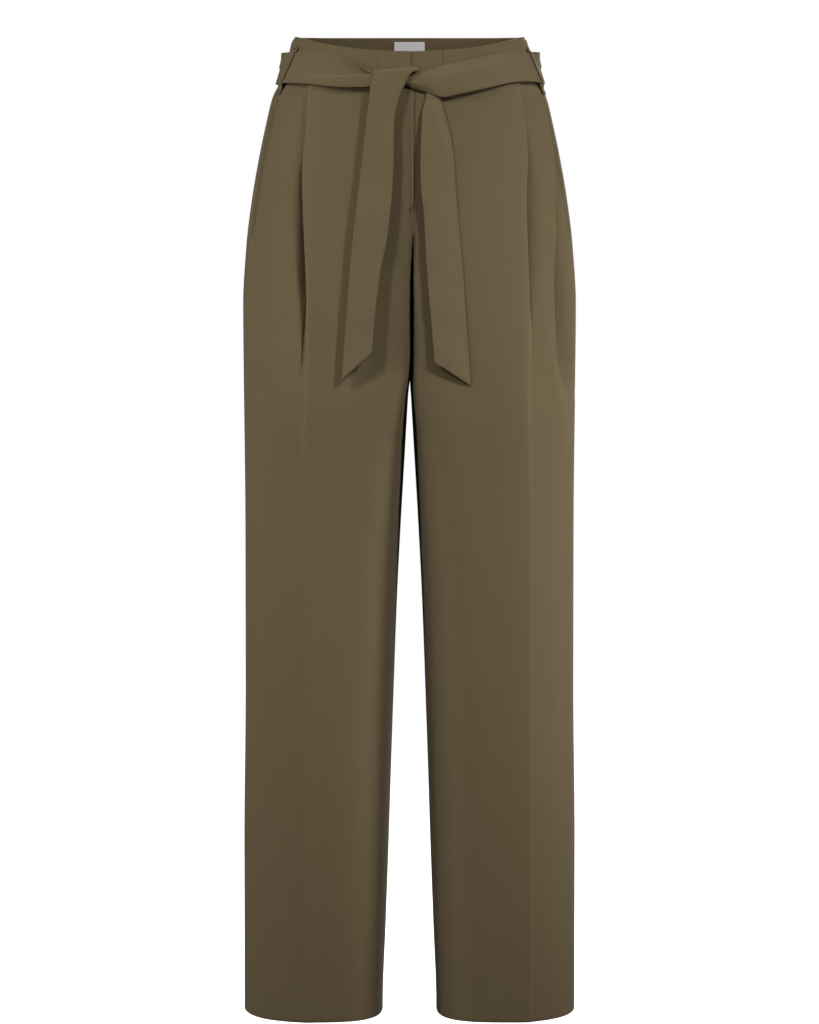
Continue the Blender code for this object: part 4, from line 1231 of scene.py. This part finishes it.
# The belt's stand-off at its upper edge, on both sides of its fold line and at its lower
# edge, and the fold line's place in the belt's width.
Stand = namedtuple("Stand", "turn part upper above below lower")
STAND = (
    Stand(11.5, 0.15, 5.4, 2.1, 7.4, 6.2),
    Stand(13.5, 0.18, 5.3, 2.1, 7.4, 6.2),
    Stand(16, 0.36, 5.2, 2.1, 7.3, 6.2),
    Stand(19, 0.475, 5.0, 2.1, 7.1, 6.1),
    Stand(22, 0.554, 4.7, 2.3, 6.9, 6.0),
    Stand(27, 0.636, 4.3, 2.8, 6.2, 5.6),
    Stand(33, 0.698, 3.9, 3.4, 5.4, 5.2),
    Stand(42, 0.74, 3.7, 4.2, 4.8, 4.9),
    Stand(52, 0.7, 3.4, 4.2, 4.4, 4.8),
    Stand(61, 0.6, 2.8, 3.6, 4.2, 4.8),
    Stand(70, 0.5, 2.6, 3.6, 4.4, 5.0),
    Stand(79, 0.5, 6.0, 5.2, 4.6, 4.0),
    Stand(90, 0.5, 8.6, 6.4, 4.6, 3.2),
    Stand(105, 0.5, 7.6, 5.8, 4.4, 3.2),
    Stand(125, 0.5, 4.6, 4.2, 3.8, 3.4),
    Stand(146, 0.5, 3.0, 3.3, 3.4, 3.4),
    Stand(180, 0.5, 3.6, 3.8, 3.8, 3.6),
    Stand(214, 0.5, 3.0, 3.3, 3.4, 3.4),
    Stand(235, 0.5, 4.8, 4.4, 4.0, 3.6),
    Stand(255, 0.5, 9.6, 7.4, 5.6, 4.4),
    Stand(268, 0.5, 11.4, 8.8, 6.6, 5.2),
    Stand(277, 0.5, 7.0, 6.0, 5.6, 5.2),
    Stand(284, 0.5, 2.8, 4.0, 4.8, 5.4),
    Stand(297, 0.5, 3.0, 4.2, 4.2, 4.6),
    Stand(313, 0.5, 3.4, 5.2, 5.2, 4.8),
    Stand(324, 0.5, 3.5, 6.4, 6.4, 5.6),
    Stand(336, 0.5, 3.2, 7.4, 7.4, 6.4),
    Stand(343.5, 0.5, 3.0, 7.7, 7.7, 6.4),
    Stand(350, 0.5, 2.9, 7.7, 7.7, 5.8),
    Stand(353.4, 0.5, 2.7, 7.5, 7.5, 4.8),
    Stand(356.8, 0.5, 2.5, 6.6, 6.6, 2.5),
    Stand(359.4, 0.5, 2.3, 5.6, 5.6, 2.1),
    Stand(363, 0.5, 2.2, 4.6, 4.6, 2.1),
)
BELT_FOLD = 2.0             # half the width of cloth in the belt's fold
BELT_TUCK = 1.4             # how far the fold goes behind its own lip


def belt_section(turns, rows):
    """Heights and stand-offs of the belt: rounded above and below its fold line."""
    top = read(COURSE, "top", turns)
    width = top - read(COURSE, "bottom", turns)
    upper, lower = read(STAND, "upper", turns), read(STAND, "lower", turns)
    over, under = read(STAND, "above", turns), read(STAND, "below", turns)
    line, half = read(STAND, "part", turns), BELT_FOLD / width
    above, fold = np.clip(rows, 0.0, 1.0), np.clip(rows - 1.0, 0.0, 1.0)
    below = np.clip(rows - 2.0, 0.0, 1.0)
    part = above * np.maximum(line - half, 0.02) + fold * 2 * half + below * (1.0 - line - half)
    part = part / (np.maximum(line - half, 0.02) + 1.0 - line + half)
    lift = mix(upper, over, np.sin(above * math.pi / 2)) + (under - over) * smooth(fold)
    lift = lift + (lower - under) * (1.0 - np.cos(below * math.pi / 2))
    tuck = BELT_TUCK * np.clip((under - over - 0.6) / 4.0, 0.0, 1.0)
    return top - part * width - tuck * np.sin(2 * math.pi * fold), lift


turns = np.concatenate([
    np.linspace(11.5, 45, 90), np.linspace(45, 315, 210)[1:], np.linspace(315, 363, 110)[1:],
])[::-1][None, :]
rows = np.concatenate([
    np.linspace(0, 1, 15), np.linspace(1, 2, 19)[1:], np.linspace(2, 3, 15)[1:],
])[:, None]
band_grid = course_point(turns, *belt_section(turns, rows))
piece = cloth_piece("belt_band_cloth", band_grid, BELT_WALL, belt_twill, round_edge=0.7)
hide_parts("belt_band")
declare(piece)


def front_depth(across, height):
    """Depth of the front's surface at a distance to the side and a height."""
    across, height = np.broadcast_arrays(across, height)
    depth = np.zeros(across.shape)
    for side in (-1, 1):
        near, far = np.zeros(across.shape), np.full(across.shape, 0.25)
        for _ in range(24):
            middle = (near + far) / 2
            inside = panel_point(side, middle, height)[..., 0] * side < across * side
            near, far = np.where(inside, middle, near), np.where(inside, far, middle)
        here = panel_point(side, near, height)[..., 1]
        depth = np.where(across * side > 0, here, depth)
    return depth


Level = namedtuple("Level", "number height")


def line_at(grid, axis, from_start, gap):
    """A line over a belt piece's face, a gap in from one of its edges, and its normals."""
    out = grid_normals(grid, 1.0)
    length = run_length(grid, axis)
    away = length if from_start else length.max(axis=axis, keepdims=True) - length
    index = np.argmin(np.abs(away - gap), axis=axis)
    other = np.arange(grid.shape[1 - axis])
    pick = (index, other) if axis == 0 else (other, index)
    return (grid + out * (BELT_WALL / 2 + 0.05))[pick], out[pick]


def hanging_end(name, table, shape):
    """A free end of the belt that hangs in front of the trousers."""
    number = [Tail(k, *row[1:]) for k, row in enumerate(table)]
    levels = [Level(k, row.height) for k, row in enumerate(table)]
    count = np.linspace(0, len(table) - 1, 12 * len(table))[:, None]
    left, right = read(number, "left", count), read(number, "right", count)
    parts = np.linspace(0, 1, 27)[None, :]
    across = mix(left, right, parts)
    level = read(levels, "height", count)
    height = level + read(number, "slope", count) * (across - (left + right) / 2)
    rise, drop = shape(level, parts, across)
    arch = TAIL_ARCH * (1.0 - (2.0 * parts - 1.0) ** 2)
    lift = read(number, "lift", count) + arch + rise
    height = height - drop
    grid = points(across, front_depth(across, height) - lift, height)
    piece = cloth_piece(name + "_cloth", grid, BELT_WALL, belt_twill, round_edge=0.7)
    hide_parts(name)
    declare(piece)
    for end, from_start in (("left", True), ("right", False)):
        path, out = line_at(grid, 1, from_start, EDGE_STITCH)
        keep = slice(len(path) // 8, -6)
        stitch_run(f"{name}_stitches_{end}", path[keep], out[keep])
    path, out = line_at(grid, 0, False, EDGE_STITCH)
    stitch_run(f"{name}_stitches_end", path[3:-3], out[3:-3])


def drape_shape(level, parts, across):
    """Slow waves down the end that falls over the knot, and its turned-down upper corner."""
    low = smooth((-75.0 - level) / 60.0)
    wave = 0.5 * np.sin((level + 40.0) / 14.0) * low
    tilt = (2.0 + 3.2 * smooth((-200.0 - level) / 150.0)) * parts - 0.8
    corner = smooth((level + 42.0) / 6.0) * 3.0 * (np.maximum(0.0, across - 0.5) / 8.5) ** 2
    return wave + tilt * low, corner


def tail_shape(level, parts, across):
    """The end under the knot: pinched at its top, its outer edge close to the cloth."""
    low = smooth((-72.0 - level) / 50.0)
    pinch = smooth((level + 170.0) / 80.0) * smooth((-66.0 - level) / 12.0)
    ridge_at = mix(0.6, 0.8, smooth((-80.0 - level) / 70.0))
    fold = pinch * 1.2 * bell(parts - ridge_at, 0.2)
    wave = 0.45 * np.sin((level + 70.0) / 9.0) * low * (1.0 - parts)
    return fold + wave + low * (2.0 - 6.0 * parts), 0.0 * across


hanging_end("belt_drape", DRAPE, drape_shape)
hanging_end("belt_tail", TAIL, tail_shape)
for edge, from_start in (("upper", True), ("lower", False)):
    path, out = line_at(band_grid, 0, from_start, EDGE_STITCH)
    stitch_run(f"belt_band_stitches_{edge}", path[4:-4], out[4:-4])


# Label ------------------------------------------------------------------------------------

lift = -(BAND_WALL / 2 + REST_GAP + LABEL_WALL / 2)
across = LABEL_WIDTH / 2 / read(OUTLINE, "half_width", LABEL_TOP)
half = math.degrees(math.asin(across ** (HIP_FULLNESS / 2)))
turns = np.linspace(180.0 + half, 180.0 - half, 25)[None, :]
height = np.linspace(LABEL_TOP, LABEL_BOTTOM, 25)[:, None]
grid = course_point(turns, height, lift + 0.0 * turns * height)
piece = cloth_piece("size_label_cloth", grid, LABEL_WALL, satin, round_edge=0.35)
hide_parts("size_label")
declare(piece)


# Room, light and camera -------------------------------------------------------------------


FLOOR = -1.10
FLOOR_GLOW = 0.98
ROOM_LIGHT = 0.05
CAMERA_PLACE = (0.0, -5.0, -0.20)
CAMERA_TARGET = (0.0, 0.0, -0.515)
# Name, place, target, size, spread in degrees, and watts.
SOFTBOXES = (
    ("key light", (2.1, -2.3, 2.35), (0.0, 0.0, -0.5), 0.5, 34.0, 4.0),
    ("fill light", (-2.2, -2.3, 2.3), (0.0, 0.0, -0.5), 0.5, 34.0, 2.9),
    ("right light", (3.05, -0.65, -0.4), (0.1, 0.0, -0.54), 0.8, 32.0, 2.6),
    ("left light", (-2.9, -0.9, -0.1), (-0.1, 0.0, -0.5), 1.4, 60.0, 6.0),
    ("back light", (0.8, 3.6, 1.2), (0.0, 0.0, -0.5), 1.8, 90.0, 30.0),
)


def stage_finish(name, colour, glow):
    material = bpy.data.materials.new(name)
    material.use_nodes = True
    shader = material.node_tree.nodes["Principled BSDF"]
    shader.inputs["Base Color"].default_value = (*colour, 1.0)
    shader.inputs["Roughness"].default_value = 0.9
    shader.inputs["Emission Color"].default_value = (1.0, 1.0, 1.0, 1.0)
    shader.inputs["Emission Strength"].default_value = glow
    return material


bpy.ops.object.select_all(action="DESELECT")
bpy.ops.mesh.primitive_plane_add(size=40.0, location=(0.0, 0.0, FLOOR))
floor = bpy.context.active_object
floor.name = "floor"
floor.data.materials.append(stage_finish("pale floor", (0.9, 0.9, 0.9), FLOOR_GLOW))
floor.visible_diffuse = False
floor.visible_glossy = False

world = bpy.data.worlds.new("white room")
bpy.context.scene.world = world
world.use_nodes = True
tree = world.node_tree
room = tree.nodes["Background"]
room.inputs["Strength"].default_value = ROOM_LIGHT
direction = tree.nodes.new("ShaderNodeTexCoord")
split = tree.nodes.new("ShaderNodeSeparateXYZ")
fade = tree.nodes.new("ShaderNodeMapRange")
fade.inputs["From Min"].default_value = -0.6
fade.inputs["From Max"].default_value = 0.6
fade.inputs["To Min"].default_value = 0.3
fade.inputs["To Max"].default_value = 1.0
tree.links.new(direction.outputs["Generated"], split.inputs[0])
tree.links.new(split.outputs["Z"], fade.inputs["Value"])
tree.links.new(fade.outputs[0], room.inputs["Color"])
seen = tree.nodes.new("ShaderNodeBackground")
seen.inputs["Color"].default_value = (1.0, 1.0, 1.0, 1.0)
ray = tree.nodes.new("ShaderNodeLightPath")
join = tree.nodes.new("ShaderNodeMixShader")
tree.links.new(ray.outputs["Is Camera Ray"], join.inputs[0])
tree.links.new(room.outputs[0], join.inputs[1])
tree.links.new(seen.outputs[0], join.inputs[2])
tree.links.new(join.outputs[0], tree.nodes["World Output"].inputs["Surface"])


def aim(thing, target):
    way = Vector(target) - thing.location
    thing.rotation_euler = way.to_track_quat("-Z", "Y").to_euler()


for name, location, target, size, spread, watts in SOFTBOXES:
    lamp = bpy.data.lights.new(name, "AREA")
    lamp.shape = "DISK"
    lamp.size = size
    lamp.spread = math.radians(spread)
    lamp.energy = watts
    thing = bpy.data.objects.new(name, lamp)
    thing.location = location
    bpy.context.scene.collection.objects.link(thing)
    aim(thing, target)

lens = bpy.data.cameras.new("camera")
lens.lens = 160.0
lens.sensor_width = 36.0
camera = bpy.data.objects.new("camera", lens)
camera.location = CAMERA_PLACE
bpy.context.scene.collection.objects.link(camera)
aim(camera, CAMERA_TARGET)
bpy.context.scene.camera = camera
bpy.context.scene.view_settings.view_transform = "Standard"
